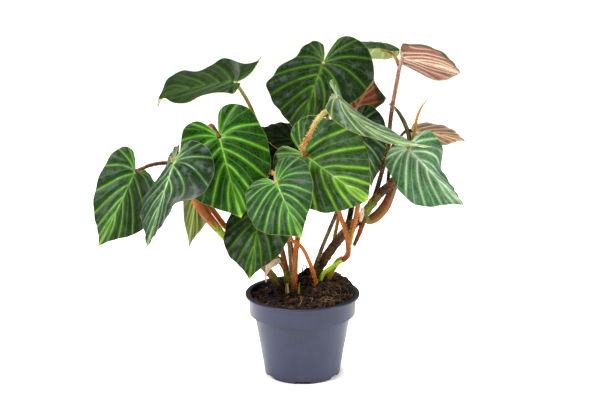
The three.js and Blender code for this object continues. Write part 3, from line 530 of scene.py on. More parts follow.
def vein_lines(tree, flat):
    """How strongly a place belongs to a vein's pale line, to the green beside it, and to a thin vein."""
    vein, gap, fade = (tree.attribute(key) for key in ("vein", "gap", "fade"))
    wander = tree.math("MULTIPLY_ADD", tree.noise(flat, 1.8, 3), 0.7, -0.35)
    away = tree.math("ADD", tree.times(tree.math("PINGPONG", vein, 0.5), gap), wander)
    away = tree.math("DIVIDE", away, tree.math("MULTIPLY_ADD", fade, 0.6, 0.5))
    off_rib = tree.math("ADD", tree.attribute("rib"), wander)
    line = tree.times(tree.span(away, -0.4, 1.5, 1, 0), fade)
    line = tree.math("MAXIMUM", line, tree.span(off_rib, 0.2, 1.3, 1, 0))
    beside = tree.times(tree.span(away, -0.5, 3.9, 1, 0), tree.span(fade, 0, 0.6, 0.45, 1))
    beside = tree.math("MAXIMUM", beside, tree.span(off_rib, 0, 5, 1, 0))
    between = tree.math("PINGPONG", tree.math("ADD", vein, 0.5), 0.5)
    thin = tree.times(tree.span(tree.times(between, gap), 0.1, 1, 1, 0), tree.span(gap, 6, 12))
    return line, beside, thin


def blade_look(name, deep, field, grain_size, grain_rough):
    """What both faces of a blade start from: a tree whose colour is the field's, the place on the flat
    blade, the strengths of the veins, and a fine grain."""
    tree = Tree(name)
    flat = tree.attribute("flat", "Vector")
    tree.colour = tree.ramp(tree.noise(flat, 9, 3), [(0.35, deep), (0.62, field)])
    return tree, flat, vein_lines(tree, flat), tree.noise(flat, grain_size, 4, grain_rough)


def blade_top(tone):
    vein, near, field, deep, painted_sheen, glow, gloss = TOP_LOOKS[tone]
    tree, flat, (line, beside, thin), grain = blade_look(f"blade_top_{tone}", deep, field, 1.6, 0.65)
    # Painted sheen: a grey laid in patches on the crests of the fields, standing in for the velvet's
    # highlights.
    crest = tree.span(tree.math("PINGPONG", tree.attribute("vein"), 0.5), 0.14, 0.5)
    sheen_patches = tree.span(tree.noise(flat, 7, 3, 0.6), 0.4, 0.66)
    tree.tint("7a8084", tree.times(crest, sheen_patches, painted_sheen))
    beside = tree.times(beside, tree.span(tree.noise(flat, 24, 2), 0.36, 0.62, 0.6, 0.95))
    tree.tint(near, beside)
    tree.tint("86b81c", tree.times(tree.span(tree.attribute("heart"), 15, 62), beside, glow))
    tree.tint(near, tree.times(thin, 0.45))
    line = tree.times(line, tree.span(tree.noise(flat, 11, 2), 0.36, 0.64, 0.35, 0.8))
    tree.tint(vein, line)
    net = tree.net(flat, 0.42)
    tree.tint(near, tree.span(net, 0.02, 0.16, 0.16, 0))
    shade = tree.ramp(grain, [(0.3, "b0b0b0"), (0.6, "ffffff")])
    tree.colour = tree.mix(0.5, tree.colour, shade, "MULTIPLY")
    tree.tint("8fa04a", tree.span(tree.attribute("edge"), 0.15, 0.6, 0.5, 0))
    tree.tint("b9bd80", tree.span(tree.attribute("heart"), 0.4, 2.8, 0.7, 0))
    tree.tint("a9bc3c", tree.span(tree.attribute("tip"), 1, 6, 0.85, 0))
    normal = tree.bump(tree.noise(flat, 0.35, 2), 0.05, 0.6)
    normal = tree.bump(net, 0.12, 0.5, normal)
    normal = tree.bump(grain, 0.25, 0.5, normal)
    return tree.finish(roughness=tree.span(grain, 0.3, 0.7, 0.32, 0.46), normal=normal,
                       specular=gloss, sheen=0.15 * painted_sheen, sheen_rough=0.45, sheen_tint=linear("cdd0d8"))


def blade_under(tone):
    vein, near, field, deep = UNDER_LOOKS[tone]
    tree, flat, (line, beside, thin), grain = blade_look(f"blade_under_{tone}", deep, field, 2.2, 0.6)
    tree.tint(near, tree.times(beside, 0.6))
    tree.tint(near, tree.times(thin, 0.35))
    tree.tint(vein, tree.times(line, 0.8))
    net = tree.net(flat, 0.4)
    tree.tint(near, tree.span(net, 0.02, 0.18, 0.25, 0))
    tree.tint("a9a565", tree.span(tree.attribute("edge"), 0.5, 3, 0.5, 0))
    tree.tint("2a4215", tree.times(tree.attribute("greening"), 0.9))
    normal = tree.bump(grain, 0.25, 0.5, tree.bump(net, 0.15, 0.6))
    return tree.finish(roughness=tree.span(grain, 0.3, 0.7, 0.38, 0.55), normal=normal,
                       specular=0.2, sheen=0.05)


def blade_edge():
    tree = Tree("blade_edge")
    patch = tree.noise(tree.attribute("flat", "Vector"), 6, 2)
    tree.colour = tree.ramp(patch, [(0.35, "5f7a2c"), (0.5, "8d9c4c"), (0.65, "94703e")])
    return tree.finish(roughness=0.5)


def stem_skin(name, roughness, fleck, stripes):
    """Skin whose colour comes from the stem's own shades, with fine streaks along it."""
    tree = Tree(name)
    skin = tree.attribute("skin", "Vector")
    place = tree.object_place()
    streak = tree.noise(skin, 1, 4, 0.6)
    spot = tree.noise(place, 2.2, 4, 0.65)
    shade = tree.ramp(streak, [(0.3, "5c5c5c"), (0.56, "ffffff")])
    tree.colour = tree.mix(0.9, tree.attribute("shade", "Color"), shade, "MULTIPLY")
    tree.tint("43291c", tree.span(spot, 0.55, 0.75, 0, fleck))
    pale = tree.span(tree.noise(place, 0.9, 2), 0.58, 0.72, 0, 0.15 + 0.5 * fleck)
    tree.tint("bc8c40", pale)
    tree.tint("94781a", tree.span(tree.noise(place, 7, 2), 0.5, 0.66, 0, 0.25))
    if stripes:
        tree.tint("6f5a2c", tree.span(tree.noise(skin, 2.4, 1), 0.48, 0.62, 0, 0.75))
    normal = tree.bump(tree.noise(place, 0.6, 2), 0.12, 0.6, tree.bump(streak, 0.25, 0.7))
    return tree.finish(roughness=tree.span(spot, 0.3, 0.7, roughness, roughness + 0.18),
                       normal=normal, specular=0.2)


def bristle_skin():
    tree = Tree("bristle")
    patch = tree.noise(tree.object_place(), 4, 2)
    tree.colour = tree.ramp(patch, [(0.35, "a9b35c"), (0.5, "d8c98c"), (0.65, "c99a68")])
    return tree.finish(roughness=0.55, specular=0.3)


def papery():
    tree = Tree("papery_scale")
    fibre = tree.noise(tree.attribute("skin", "Vector"), 0.8, 4, 0.6)
    tree.colour = tree.ramp(fibre, [(0.25, "8e6a50"), (0.5, "d9b9a0"), (0.75, "efdccb")])
    spot = tree.noise(tree.object_place(), 2.5, 3)
    tree.tint("7a4c38", tree.span(spot, 0.5, 0.75, 0, 0.6))
    return tree.finish(roughness=0.8, normal=tree.bump(fibre, 0.2, 0.8), specular=0.25)


def peat():
    tree = Tree("peat_soil")
    place = tree.object_place()
    coarse = tree.noise(place, 5, 4, 0.65)
    fine = tree.noise(place, 0.9, 4, 0.7)
    tree.colour = tree.ramp(coarse, [(0.36, "0d0907"), (0.52, "20140e"), (0.68, "4c3525")])
    tree.tint("765539", tree.span(fine, 0.56, 0.75, 0, 0.7))
    tree.tint("090605", tree.span(fine, 0.47, 0.27, 0, 0.7))
    normal = tree.bump(fine, 0.5, 0.9, tree.bump(coarse, 1, 0.8))
    return tree.finish(roughness=0.92, normal=normal, specular=0.2)


def coir():
    tree = Tree("coir_fibre")
    place = tree.object_place()
    tree.colour = tree.ramp(tree.noise(place, 7, 3), [(0.35, "4a3020"), (0.55, "8c6541"), (0.7, "b78d5e")])
    normal = tree.bump(tree.noise(place, 0.4, 2), 0.1, 0.6)
    return tree.finish(roughness=0.8, normal=normal, specular=0.25)


def pot_plastic():
    tree = Tree("pot_plastic")
    place = tree.object_place()
    drawn = tree.noise(tree.object_place((1, 1, 0.06)), 3, 3)
    cloud = tree.noise(place, 22, 3)
    tree.colour = tree.ramp(cloud, [(0.3, "1d2137"), (0.7, "252944")])
    tree.tint("2d314c", tree.span(drawn, 0.5, 0.75, 0, 0.3))
    x, y, height = tree.add("ShaderNodeSeparateXYZ", {"Vector": place}).outputs
    radius = tree.math("SQRT", tree.math("ADD", tree.math("POWER", x, 2), tree.math("POWER", y, 2)))
    step, top = POT["collar_bottom_z"], POT["height"]
    rim, collar = POT["rim_radius"], POT["collar_bottom_radius"]
    # Painted shade: the inner wall above the collar's step and the top of the lip, but not the collar's
    # outside, are darkened almost to black.
    inside = tree.times(tree.span(height, step + 0.5, step + 1.5), tree.span(radius, rim - 0.8, rim - 1.4))
    outside = tree.times(tree.span(height, top - 0.6, top - 1),
                         tree.span(radius, collar - 0.5, collar - 0.1))
    inside = tree.times(inside, tree.math("SUBTRACT", 1, outside))
    tree.tint("0d0d10", tree.times(inside, 0.85))
    # Painted shade: a dark band just under the collar's step.
    painted_shade_under_collar = tree.times(tree.span(height, step - 3.5, step - 0.3),
                              tree.span(height, step + 0.5, step + 0.1))
    tree.tint("0e0f16", tree.times(painted_shade_under_collar, 0.7))
    dust = tree.times(tree.span(height, 14, 0), tree.span(tree.noise(place, 4, 4), 0.45, 0.8, 0, 0.4))
    tree.tint("40342c", dust)
    return tree.finish(roughness=tree.span(cloud, 0.3, 0.75, 0.34, 0.44),
                       normal=tree.bump(drawn, 0.05, 0.4), specular=0.38)


# Blades.
def half_value(leaf, key, side):
    value = leaf[key]
    if isinstance(value, list):
        return value[0 if side < 0 else 1]
    return value


def margin_points(leaf, side, s):
    """The margin of one half of a flat blade, from the lobe's inner corner round to the tip, as the
    place along the rib in blade lengths and across in half widths."""
    lobe, gap, flank = (half_value(leaf, key, side) for key in ("lobe", "gap", "flank"))
    shoulder = 0.98 * half_value(leaf, "shoulder", side)
    belly = half_value(leaf, "belly", side)
    blunt = leaf["blunt"]
    inner = (-0.72 * lobe, gap)
    widest = (-0.13 * lobe, shoulder)
    low = (0.72, flank)
    arcs = [
        (0, LOBE_END, inner, (-1.13 * lobe, 1.6 * gap), (-1.1 * lobe, 0.87 * shoulder), widest),
        (LOBE_END, FLANK_END, widest, (0.14, shoulder + 0.07), (0.48, flank + 0.54 * belly), low),
        (FLANK_END, 1, low, (0.82 + 0.04 * blunt, flank * (0.48 + 0.2 * blunt)),
         (0.9 + 0.07 * blunt, flank * (0.1 + 0.06 * blunt)), (1, 0)),
    ]
    points = np.zeros((len(s), 2))
    for start, end, *corners in arcs:
        here = (s >= start) & (s <= end)
        t = ((s[here] - start) / (end - start))[:, None]
        weights = np.hstack([(1 - t) ** 3, 3 * t * (1 - t) ** 2, 3 * t * t * (1 - t), t ** 3])
        points[here] = weights @ np.array(corners)
    return points


def flat_points(leaf, side, s, t):
    """Points of the flat blade in blade lengths: s picks the vein, t runs along it to the margin."""
    along_rib, across = margin_points(leaf, side, s).T
    half = half_value(leaf, "half", side)
    lobe = half_value(leaf, "lobe", side)
    foot = np.clip((s - BASAL_SHARE) / (1 - BASAL_SHARE), 0, 1) ** FOOT_POWER
    du = along_rib - foot
    dv = across * half
    spread = BOW_SPREAD + BOW_DELAY * max(0, SHORT_LOBE - lobe)
    at_sinus = SINUS_BOW * half_value(leaf, "gap", side) / lobe
    first = min(VEIN_BOW * min(1, lobe / SHORT_LOBE), at_sinus)
    bow = first + (VEIN_BOW - first) * smoothstep(0, spread, s)
    bend_u = foot + du / 2 - bow * dv
    bend_v = dv / 2 + bow * (half / PLAIN_HALF) * du
    u = (1 - t) ** 2 * foot + 2 * t * (1 - t) * bend_u + t * t * along_rib
    v = 2 * t * (1 - t) * bend_v + t * t * dv
    return u, np.maximum(v, 0)


def rib_angle(leaf, side, u):
    rise = math.radians(half_value(leaf, "rise", side))
    hook = math.radians(leaf["hook"]) * np.maximum(0, (u - HOOK_START) / (1 - HOOK_START))
    return np.where(u < 0, -rise * u, math.radians(leaf["droop"]) * u + hook)


def blade_points(leaf, side, s, t):
    """The flat blade folded at its rib, curled across, waved, and bent along the rib."""
    u, v = flat_points(leaf, side, s, t)
    bulge = np.sin(math.pi * vein_number(leaf, side, s, t)) ** 2 - 0.5
    v = v * (1 + half_value(leaf, "frill", side) * t ** 4 * bulge)
    blend = smoothstep(leaf["fold_from"], leaf["fold_to"], u)
    fold = half_value(leaf, "fold", side)
    start = np.radians(fold + (half_value(leaf, "fold_tip", side) - fold) * blend)
    turn = math.radians(half_value(leaf, "curl", side)) or 1e-6
    y = (np.sin(start + turn * v) - np.sin(start)) / turn
    height, waves, phase = leaf["wave"]
    out = v / half_value(leaf, "half", side)
    lag = leaf["lag"] if side < 0 else 0
    ripple = height * out * out * np.sin(2 * math.pi * (waves * s + phase + lag))
    z = (np.cos(start) - np.cos(start + turn * v)) / turn + ripple
    steps = 16
    rib_x, rib_z = np.zeros_like(u), np.zeros_like(u)
    for i in range(steps):
        angle = rib_angle(leaf, side, u * (i + 0.5) / steps)
        rib_x += np.cos(angle) * u / steps
        rib_z -= np.sin(angle) * u / steps
    angle = rib_angle(leaf, side, u)
    return np.stack([rib_x + np.sin(angle) * z, side * y, rib_z + np.cos(angle) * z], axis=-1)


def basis(forward, up):
    x = unit(np.asarray(forward, float))
    z = unit(np.asarray(up, float) - x * np.dot(up, x))
    return np.stack([x, np.cross(z, x), z], axis=1)


def blade_placement(leaf):
    """The turn, the scale and the start that carry a blade's own frame to its place."""
    own = blade_points(leaf, 1, np.array([1.0]), np.array([1.0]))[0]
    chord = np.subtract(leaf["tip"], leaf["at"]).astype(float)
    scale = np.linalg.norm(chord) / np.linalg.norm(own)
    axis = unit(chord)
    angle = math.radians(leaf["roll"])
    cross = np.array([[0, -axis[2], axis[1]], [axis[2], 0, -axis[0]], [-axis[1], axis[0], 0]])
    roll = np.eye(3) + math.sin(angle) * cross + (1 - math.cos(angle)) * cross @ cross
    turn = roll @ basis(chord, (0, -1, 0)) @ basis(own, (0, 0, 1)).T
    return turn, scale, np.array(leaf["at"], float)


def point_normals(points, faces):
    """The mean direction of the faces around each point."""
    normals = np.zeros_like(points)
    for face in faces.values():
        corners = points[face]
        direction = np.cross(corners[:, 2] - corners[:, 0], corners[:, -1] - corners[:, 1])
        for k in range(face.shape[1]):
            np.add.at(normals, face[:, k], direction)
    return unit(normals)


def blade_grid():
    """The points of a blade as (side, s, t), its faces, and its margin loop. Every blade shares them."""
    numbers = {}

    def point(side, i, j):
        """The number of a point. Both halves share the rib, and all basal rows share its foot."""
        s = i / LEAF_ROWS
        place = (side, s, (j / LEAF_COLUMNS) ** 0.9)
        if j == 0 or i == LEAF_ROWS:
            place = (1, s, 0.0) if s > BASAL_SHARE else (0, 0.0, 0.0)
        return numbers.setdefault(place, len(numbers))

    faces = {4: [], 3: []}
    for side in (-1, 1):
        for i in range(LEAF_ROWS):
            for j in range(LEAF_COLUMNS):
                ring = [point(side, i + a, j + b) for a, b in ((0, 0), (1, 0), (1, 1), (0, 1))]
                ring = list(dict.fromkeys(ring[::side]))
                if len(ring) in faces:
                    faces[len(ring)].append(ring)
    left, right = ([point(side, 0, j) for j in range(LEAF_COLUMNS)]
                   + [point(side, i, LEAF_COLUMNS) for i in range(LEAF_ROWS)] for side in (-1, 1))
    loop = left + [point(1, LEAF_ROWS, 0)] + right[:0:-1]
    return np.array(list(numbers)), {size: np.array(found) for size, found in faces.items()}, np.array(loop)


GRID = blade_grid()


def vein_number(leaf, side, s, t):
    """The running number of the vein through each point. Veins lean towards the tip more than s does."""
    leaned = s - leaf["lean"] * smoothstep(0.15, 0.6, s) * t * (2 - t)
    veins = np.array(leaf["veins"]) + (VEIN_SHIFT if side > 0 else 0)
    places = np.concatenate([[veins[0] - 0.1], veins, [1.06]])
    return np.interp(leaned, places, np.arange(len(places)) - 1)


def blade_fields(leaf, side, s, t, scale):
    """What the materials and the relief need at each point of one half: the number of the vein, the
    distance between neighbouring veins, how strong a vein still is there, the distances to the rib,
    to the margin, to the petiole and to the tip, how far an underside has turned green, and the place
    on the flat blade. Lengths are in millimetres."""
    def place(s, t):
        """The place on the flat blade in millimetres, and the number of the vein."""
        return np.stack([*flat_points(leaf, side, s, t), vein_number(leaf, side, s, t)]) * size

    step = 4e-3
    size = np.array([scale, scale, 1])[:, None]
    low_s, high_s = np.clip(s - step, 0, 1), np.clip(s + step, 0, 1)
    low_t, high_t = np.clip(t - step, 0, 1), np.clip(t + step, 0, 1)
    x_s, y_s, number_s = (place(high_s, t) - place(low_s, t)) / (high_s - low_s)
    x_t, y_t, number_t = (place(s, high_t) - place(s, low_t)) / (high_t - low_t)
    area = x_s * y_t - y_s * x_t
    steepness = np.hypot(number_s * y_t - number_t * y_s, number_t * x_s - number_s * x_t)
    gap = np.abs(area) / np.maximum(steepness, 1e-9)
    spacing = np.abs(area) / np.maximum(np.hypot(x_t, y_t), 1e-9)
    u, v = flat_points(leaf, side, s, t)
    tip_u, tip_v = flat_points(leaf, side, s, np.ones_like(t))
    edge = np.minimum(scale * np.hypot(tip_u - u, tip_v - v), spacing * s)
    rib = scale * np.hypot(np.minimum(u, 0), v) + 0.5 * np.clip(u, 0, 1)
    turned = half_value(leaf, "greening", side)
    return {"vein": vein_number(leaf, side, s, t), "gap": np.minimum(gap, 30), "fade": 1 - 0.75 * t,
            "rib": rib, "edge": edge, "heart": scale * np.hypot(u, v), "tip": scale * np.hypot(1 - u, v),
            "greening": smoothstep(turned, turned + 0.12, t), "x": u * scale, "y": v * side * scale}


def blade_relief(fields, flat, t, seed):
    """How far each point stands out of the plain blade: fields puffed up between sunken veins, a slow
    sway, and a scalloped margin. Also how far the veins stand out below. All in millimetres."""
    cell = np.abs(fields["vein"] - np.round(fields["vein"]))
    off_vein = cell * fields["gap"]
    rib, gap = fields["rib"], fields["gap"]
    puff = 0.15 * np.minimum(gap, 9) * smoothstep(0, 0.5, cell) ** 0.8
    puff *= smoothstep(0, 3, rib) * (1 - 0.55 * smoothstep(0.75, 1, t))
    groove = 0.22 * np.exp(-(off_vein / 0.6) ** 2) * (1 - 0.6 * t) + 0.45 * np.exp(-(rib / 0.9) ** 2)
    sway = 0.5 * lumps(flat, 16, seed, 2)
    scallop = 0.35 * np.sin(2 * math.pi * fields["vein"]) * smoothstep(0.6, 1, t)
    ridge = 0.7 * np.exp(-rib ** 2) + 0.3 * np.exp(-(off_vein / 0.7) ** 2) * (1 - 0.6 * t)
    return puff - groove + sway + scallop, ridge * smoothstep(0, 4, fields["edge"])


def make_blade(name, own, materials):
    leaf = {**LEAF_DEFAULTS, **own}
    leaf.setdefault("fold_tip", leaf["fold"])
    rows, faces, loop = GRID
    turn, scale, start = blade_placement(leaf)
    points = np.zeros((len(rows), 3))
    fields = {}
    for side in (-1, 1):
        mine = rows[:, 0] == side if side < 0 else rows[:, 0] >= 0
        s, t = rows[mine, 1], rows[mine, 2]
        points[mine] = blade_points(leaf, side, s, t)
        for key, values in blade_fields(leaf, side, s, t, scale).items():
            fields.setdefault(key, np.zeros(len(rows)))[mine] = values
    points = points @ turn.T * scale + start
    seed = own_seed(name, 97)
    count = len(rows)
    flat = np.stack([fields.pop("x"), fields.pop("y"), np.full(count, float(seed))], axis=-1)
    relief, ridge = blade_relief(fields, flat, rows[:, 2], seed)
    points = points + point_normals(points, faces) * relief[:, None]
    normals = point_normals(points, faces)
    thick = MARGIN_THICKNESS + (LEAF_THICKNESS - MARGIN_THICKNESS) * smoothstep(0, 5, fields["edge"])
    top = points + normals * thick[:, None] / 2
    bottom = points - normals * (thick / 2 + ridge)[:, None]
    upper = [corners for face in faces.values() for corners in face.tolist()]
    lower = [corners for face in faces.values() for corners in (face[:, ::-1] + count).tolist()]
    ahead = np.roll(loop, -1)
    rim = np.stack([loop, ahead, ahead + count, loop + count], axis=1)[:, ::-1].tolist()
    looks = np.repeat([0, 1, 2], [len(upper), len(lower), len(rim)])
    kept = {key: np.tile(values, 2) for key, values in fields.items()}
    kept["flat"] = np.tile(flat, (2, 1))
    skins = [materials["top_" + leaf["top"]], materials["under_" + leaf["under"]], materials["edge"]]
    piece(f"{name}_blade", np.vstack([top, bottom]), upper + lower + rim, skins, [name],
          looks, kept)


# Stems.
def quads(index):
    """The faces between neighbouring rows and columns of a grid of point numbers."""
    corners = (index[:-1, :-1], index[1:, :-1], index[1:, 1:], index[:-1, 1:])
    return np.stack(corners, axis=-1).reshape(-1, 4).tolist()


def spline(route, count):
    """Points evenly spaced along a centripetal Catmull-Rom curve through the route."""
    corners = np.array(route, float)
    corners = np.vstack([2 * corners[0] - corners[1], corners, 2 * corners[-1] - corners[-2]])
    found = []
    for a, b, c, d in zip(corners, corners[1:], corners[2:], corners[3:]):
        knots = np.cumsum([0, *(np.linalg.norm(q - p) ** 0.5 for p, q in ((a, b), (b, c), (c, d)))])
        t = np.linspace(knots[1], knots[2], 24, endpoint=False)[:, None]

        def blend(p, q, i, j, t=t, knots=knots):
            return ((knots[j] - t) * p + (t - knots[i]) * q) / (knots[j] - knots[i])

        first, second, third = blend(a, b, 0, 1), blend(b, c, 1, 2), blend(c, d, 2, 3)
        found.append(blend(blend(first, second, 0, 2), blend(second, third, 1, 3), 1, 2))
    fine = np.vstack([*found, corners[-2]])
    length = np.concatenate([[0], np.cumsum(np.linalg.norm(np.diff(fine, axis=0), axis=1))])
    even = np.linspace(0, length[-1], count)
    return np.stack([np.interp(even, length, axis) for axis in fine.T], axis=1), length[-1]


def frames(path):
    """A tangent and two cross directions at each point, carried along without twisting."""
    tangents = unit(np.gradient(path, axis=0))
    side = np.cross(tangents[0], (0.3, 1, 0.2))
    sides = []
    for tangent in tangents:
        side = unit(side - tangent * np.dot(side, tangent))
        sides.append(side)
    sides = np.array(sides)
    return tangents, sides, np.cross(tangents, sides)


def turns(count):
    """Angles spread evenly round a circle."""
    return np.linspace(0, 2 * math.pi, count, endpoint=False)


def tube(path, radii, sides):
    """The points of a tube's rings, its faces with both ends closed, and the way out at each point."""
    _, across, upward = frames(path)
    angles = turns(sides)
    ring = np.cos(angles)[None, :, None] * across[:, None] + np.sin(angles)[None, :, None] * upward[:, None]
    radii = np.broadcast_to(np.asarray(radii, float).reshape(len(path), -1), (len(path), sides))
    points = path[:, None] + ring * radii[:, :, None]
    index = np.arange(len(path) * sides).reshape(len(path), sides)
    faces = quads(np.hstack([index, index[:, :1]]).T) + [index[0, ::-1].tolist(), index[-1].tolist()]
    return points.reshape(-1, 3), faces, ring.reshape(-1, 3)


def bristles(path, radii, per_mm, length):
    """Small bent spikes standing on a stem, as points and triangles."""
    tangents, across, upward = frames(path)
    total = np.linalg.norm(np.diff(path, axis=0), axis=1).sum()
    points, faces = [], []
    for _ in range(int(total * per_mm)):
        share = random.uniform(0.04, 0.99) * (len(path) - 1)
        i = min(int(share), len(path) - 2)
        f = share - i
        angle = random.uniform(0, 2 * math.pi)
        out = math.cos(angle) * across[i] + math.sin(angle) * upward[i]
        flank = np.cross(tangents[i], out)
        centre = path[i] * (1 - f) + path[i + 1] * f
        radius = radii[i] * (1 - f) + radii[i + 1] * f
        foot = centre + out * (radius - 0.12)
        tall = length * random.uniform(0.5, 1.3)
        lean = tangents[i] * random.uniform(-0.1, 0.7) + flank * random.uniform(-0.3, 0.3)
        wide = random.uniform(0.18, 0.3)
        first = len(points)
        points += [foot + flank * wide, foot - flank * wide * 0.5 + tangents[i] * wide,
                   foot - flank * wide * 0.5 - tangents[i] * wide, foot + unit(out + lean) * tall]
        faces += [(first + a, first + b, first + 3) for a, b in ((0, 1), (1, 2), (2, 0))]
    return np.array(points).reshape(-1, 3), faces


def stem_radii(stem, share, length, leaf):
    """The radius along the stem, with a swelling and a crease at each ring, and wider at its leaf."""
    radii = along(stem["radii"], share)
    for place in stem["rings"]:
        off = (share - place) * length
        radii = radii + 0.55 * np.exp(-(off / 1.3) ** 2) - 0.25 * np.exp(-(off - 2.2) ** 2)
    if leaf:
        radii = radii + 0.45 * smoothstep(1 - 7 / length, 1 - 1.5 / length, share)
    return radii


def make_stem(name, own, materials):
    stem = {**STEM_DEFAULTS, **own}
    route = list(stem["route"])
    leaf = LEAVES.get(name.replace("petiole", "leaf"))
    if leaf:
        top = np.array(leaf["at"], float)
        route.append(tuple(top + unit(route[-1] - top) * PETIOLE_GAP))
    seed = own_seed(name, 89)
    rough, striped = stem["rough"], stem["stripes"]
    _, length = spline(route, 2)
    count = max(8, int(length / STEM_STEP))
    path, _ = spline(route, count)
    sides = 20 if max(stem["radii"]) > 3 else 14
    share = np.linspace(0, 1, count)
    radii = stem_radii(stem, share, length, leaf)
    angles = turns(sides)
    flutes = 0.035 * np.cos(3 * angles + seed) + (0.05 * np.cos(7 * angles) if striped else 0)
    points, faces, ring = tube(path, radii[:, None] * (1 + flutes[None, :]), sides)
    wobble = (0.1 + rough) * lumps(points, 3.0 + 3 * (1 - rough), seed, 3)
    points = points + ring * wobble[:, None]
    skin = np.stack([np.tile(3.0 * np.cos(angles), count), np.tile(3.0 * np.sin(angles), count),
                     np.repeat(share * length * 0.12, sides) + seed], axis=-1)
    shades = along([linear(COLOURS[shade]) for shade in stem["shades"].split()], share)
    shades = np.repeat(shades, sides, axis=0)
    looks = [0] * len(faces)
    skins = [materials["sheath" if striped else "rough_stem" if rough else "stem"]]
    dense = stem.get("bristles", PETIOLE_BRISTLES if leaf else 0)
    if dense:
        spikes, spike_faces = bristles(path, radii, dense, 1.1 + 0.3 * dense)
        faces += [tuple(len(points) + k for k in face) for face in spike_faces]
        looks += [1] * len(spike_faces)
        skins.append(materials["bristle"])
        skin = np.vstack([skin, np.zeros((len(spikes), 3))])
        shades = np.vstack([shades, np.ones((len(spikes), 4))])
        points = np.vstack([points, spikes])
    piece(f"{name}_skin", points, faces, skins, [name], looks,
          {"skin": skin, "shade": shades})


def make_husk(name, route, widths, material):
    """A thin curling papery sheet with a frayed edge."""
    count, columns, thin = 40, 12, 0.14
    path, length = spline(route, count)
    tangents = unit(np.gradient(path, axis=0))
    share = np.linspace(0, 1, count)
    widths = along(widths, share)
    across = unit(np.cross(tangents, (0, 1, 0)))
    out = np.cross(across, tangents)
    seed = own_seed(name, 53)
    rows, skin = [], []
    for i in range(count):
        for j in range(columns + 1):
            part = j / columns - 0.5
            fray = 1 + 0.18 * noise.noise(Vector((share[i] * 9, part * 3, seed)))
            cup = 2.2 * part * part * widths[i] / 4
            point = path[i] + across[i] * part * widths[i] * fray + out[i] * cup
            rows.append(point + out[i] * 0.5 * noise.noise(Vector(point / 2.5)))
            skin.append((part * 6, 0, share[i] * length * 0.1 + seed))
    points = np.array(rows)
    index = np.arange(len(points)).reshape(count, -1)
    faces = quads(index)
    normals = point_normals(points, {4: np.array(faces)})
    total = len(points)
    both = np.vstack([points + normals * thin, points - normals * thin])
    back = [tuple(total + k for k in reversed(face)) for face in faces]
    edge = [*index[0, :-1], *index[:-1, -1], *index[-1, :0:-1], *index[:0:-1, 0]]
    rim = [(b, a, a + total, b + total) for a, b in zip(edge, edge[1:] + edge[:1])]
    piece(f"{name}_sheet", both, faces + back + rim, [material], [name],
          attributes={"skin": np.tile(skin, (2, 1))})


# The pot and the soil.
def lathe(outline, sides):
    """A profile of (radius, height) turned about the upright axis, as points and faces."""
    points, faces, rings = [], [], []
    for radius, height in outline:
        if radius < 1e-6:
            rings.append([len(points)] * sides)
            points.append((0, 0, height))
        else:
            rings.append([len(points) + k for k in range(sides)])
            points += [(radius * math.cos(a), radius * math.sin(a), height) for a in turns(sides)]
    for low, high in zip(rings, rings[1:]):
        for k in range(sides):
            n = (k + 1) % sides
            faces.append(tuple(dict.fromkeys((low[k], low[n], high[n], high[k]))))
    return np.array(points, float), faces


def inner_wall(clearance):
    """The profile inside the pot, from the collar's ledge down to the floor."""
    inside = POT["wall"] + clearance
    ledge = POT["collar_bottom_z"] + inside
    floor = POT["recess"] + inside
    slope = (POT["body_top_radius"] - POT["foot_radius"]) / POT["collar_bottom_z"]
    return [(POT["collar_bottom_radius"] - inside, ledge), (POT["body_top_radius"] - inside, ledge),
            (POT["foot_radius"] - inside + slope * floor, floor)]


def rounded(corners, radius, steps=4):
    """The outline with its corners eased by arcs of about that radius."""
    corners = [np.array(c, float) for c in corners]
    eased = [corners[0]]
    for before, corner, after in zip(corners, corners[1:], corners[2:]):
        reach = min(radius, np.linalg.norm(before - corner) / 2.2, np.linalg.norm(after - corner) / 2.2)
        start = corner + unit(before - corner) * reach
        end = corner + unit(after - corner) * reach
        for t in np.linspace(0, 1, steps):
            eased.append((1 - t) ** 2 * start + 2 * t * (1 - t) * corner + t * t * end)
    eased.append(corners[-1])
    return eased


def prism(outline, low, high):
    """The points and faces of an upright prism over a flat outline."""
    count = len(outline)
    points = [(x, y, z) for z in (low, high) for x, y in outline]
    walls = [(k, (k + 1) % count, count + (k + 1) % count, count + k) for k in range(count)]
    return points, [tuple(range(count))[::-1], tuple(range(count, 2 * count)), *walls]


def spun(outline, angle):
    """The outline turned about the upright axis."""
    c, s = math.cos(angle), math.sin(angle)
    return [(x * c - y * s, x * s + y * c) for x, y in outline]


def cut_away(thing, points, faces):
    """Takes a closed solid in millimetres out of the object's mesh."""
    tool = add_object("cutter", new_mesh("cutter", points, faces))
    cut = thing.modifiers.new("cut", "BOOLEAN")
    cut.operation = "DIFFERENCE"
    cut.solver = "EXACT"
    cut.object = tool
    bpy.context.view_layer.update()
    shaped = thing.evaluated_get(bpy.context.evaluated_depsgraph_get())
    done = bpy.data.meshes.new_from_object(shaped)
    thing.modifiers.clear()
    thing.data = done
    bpy.data.objects.remove(tool)


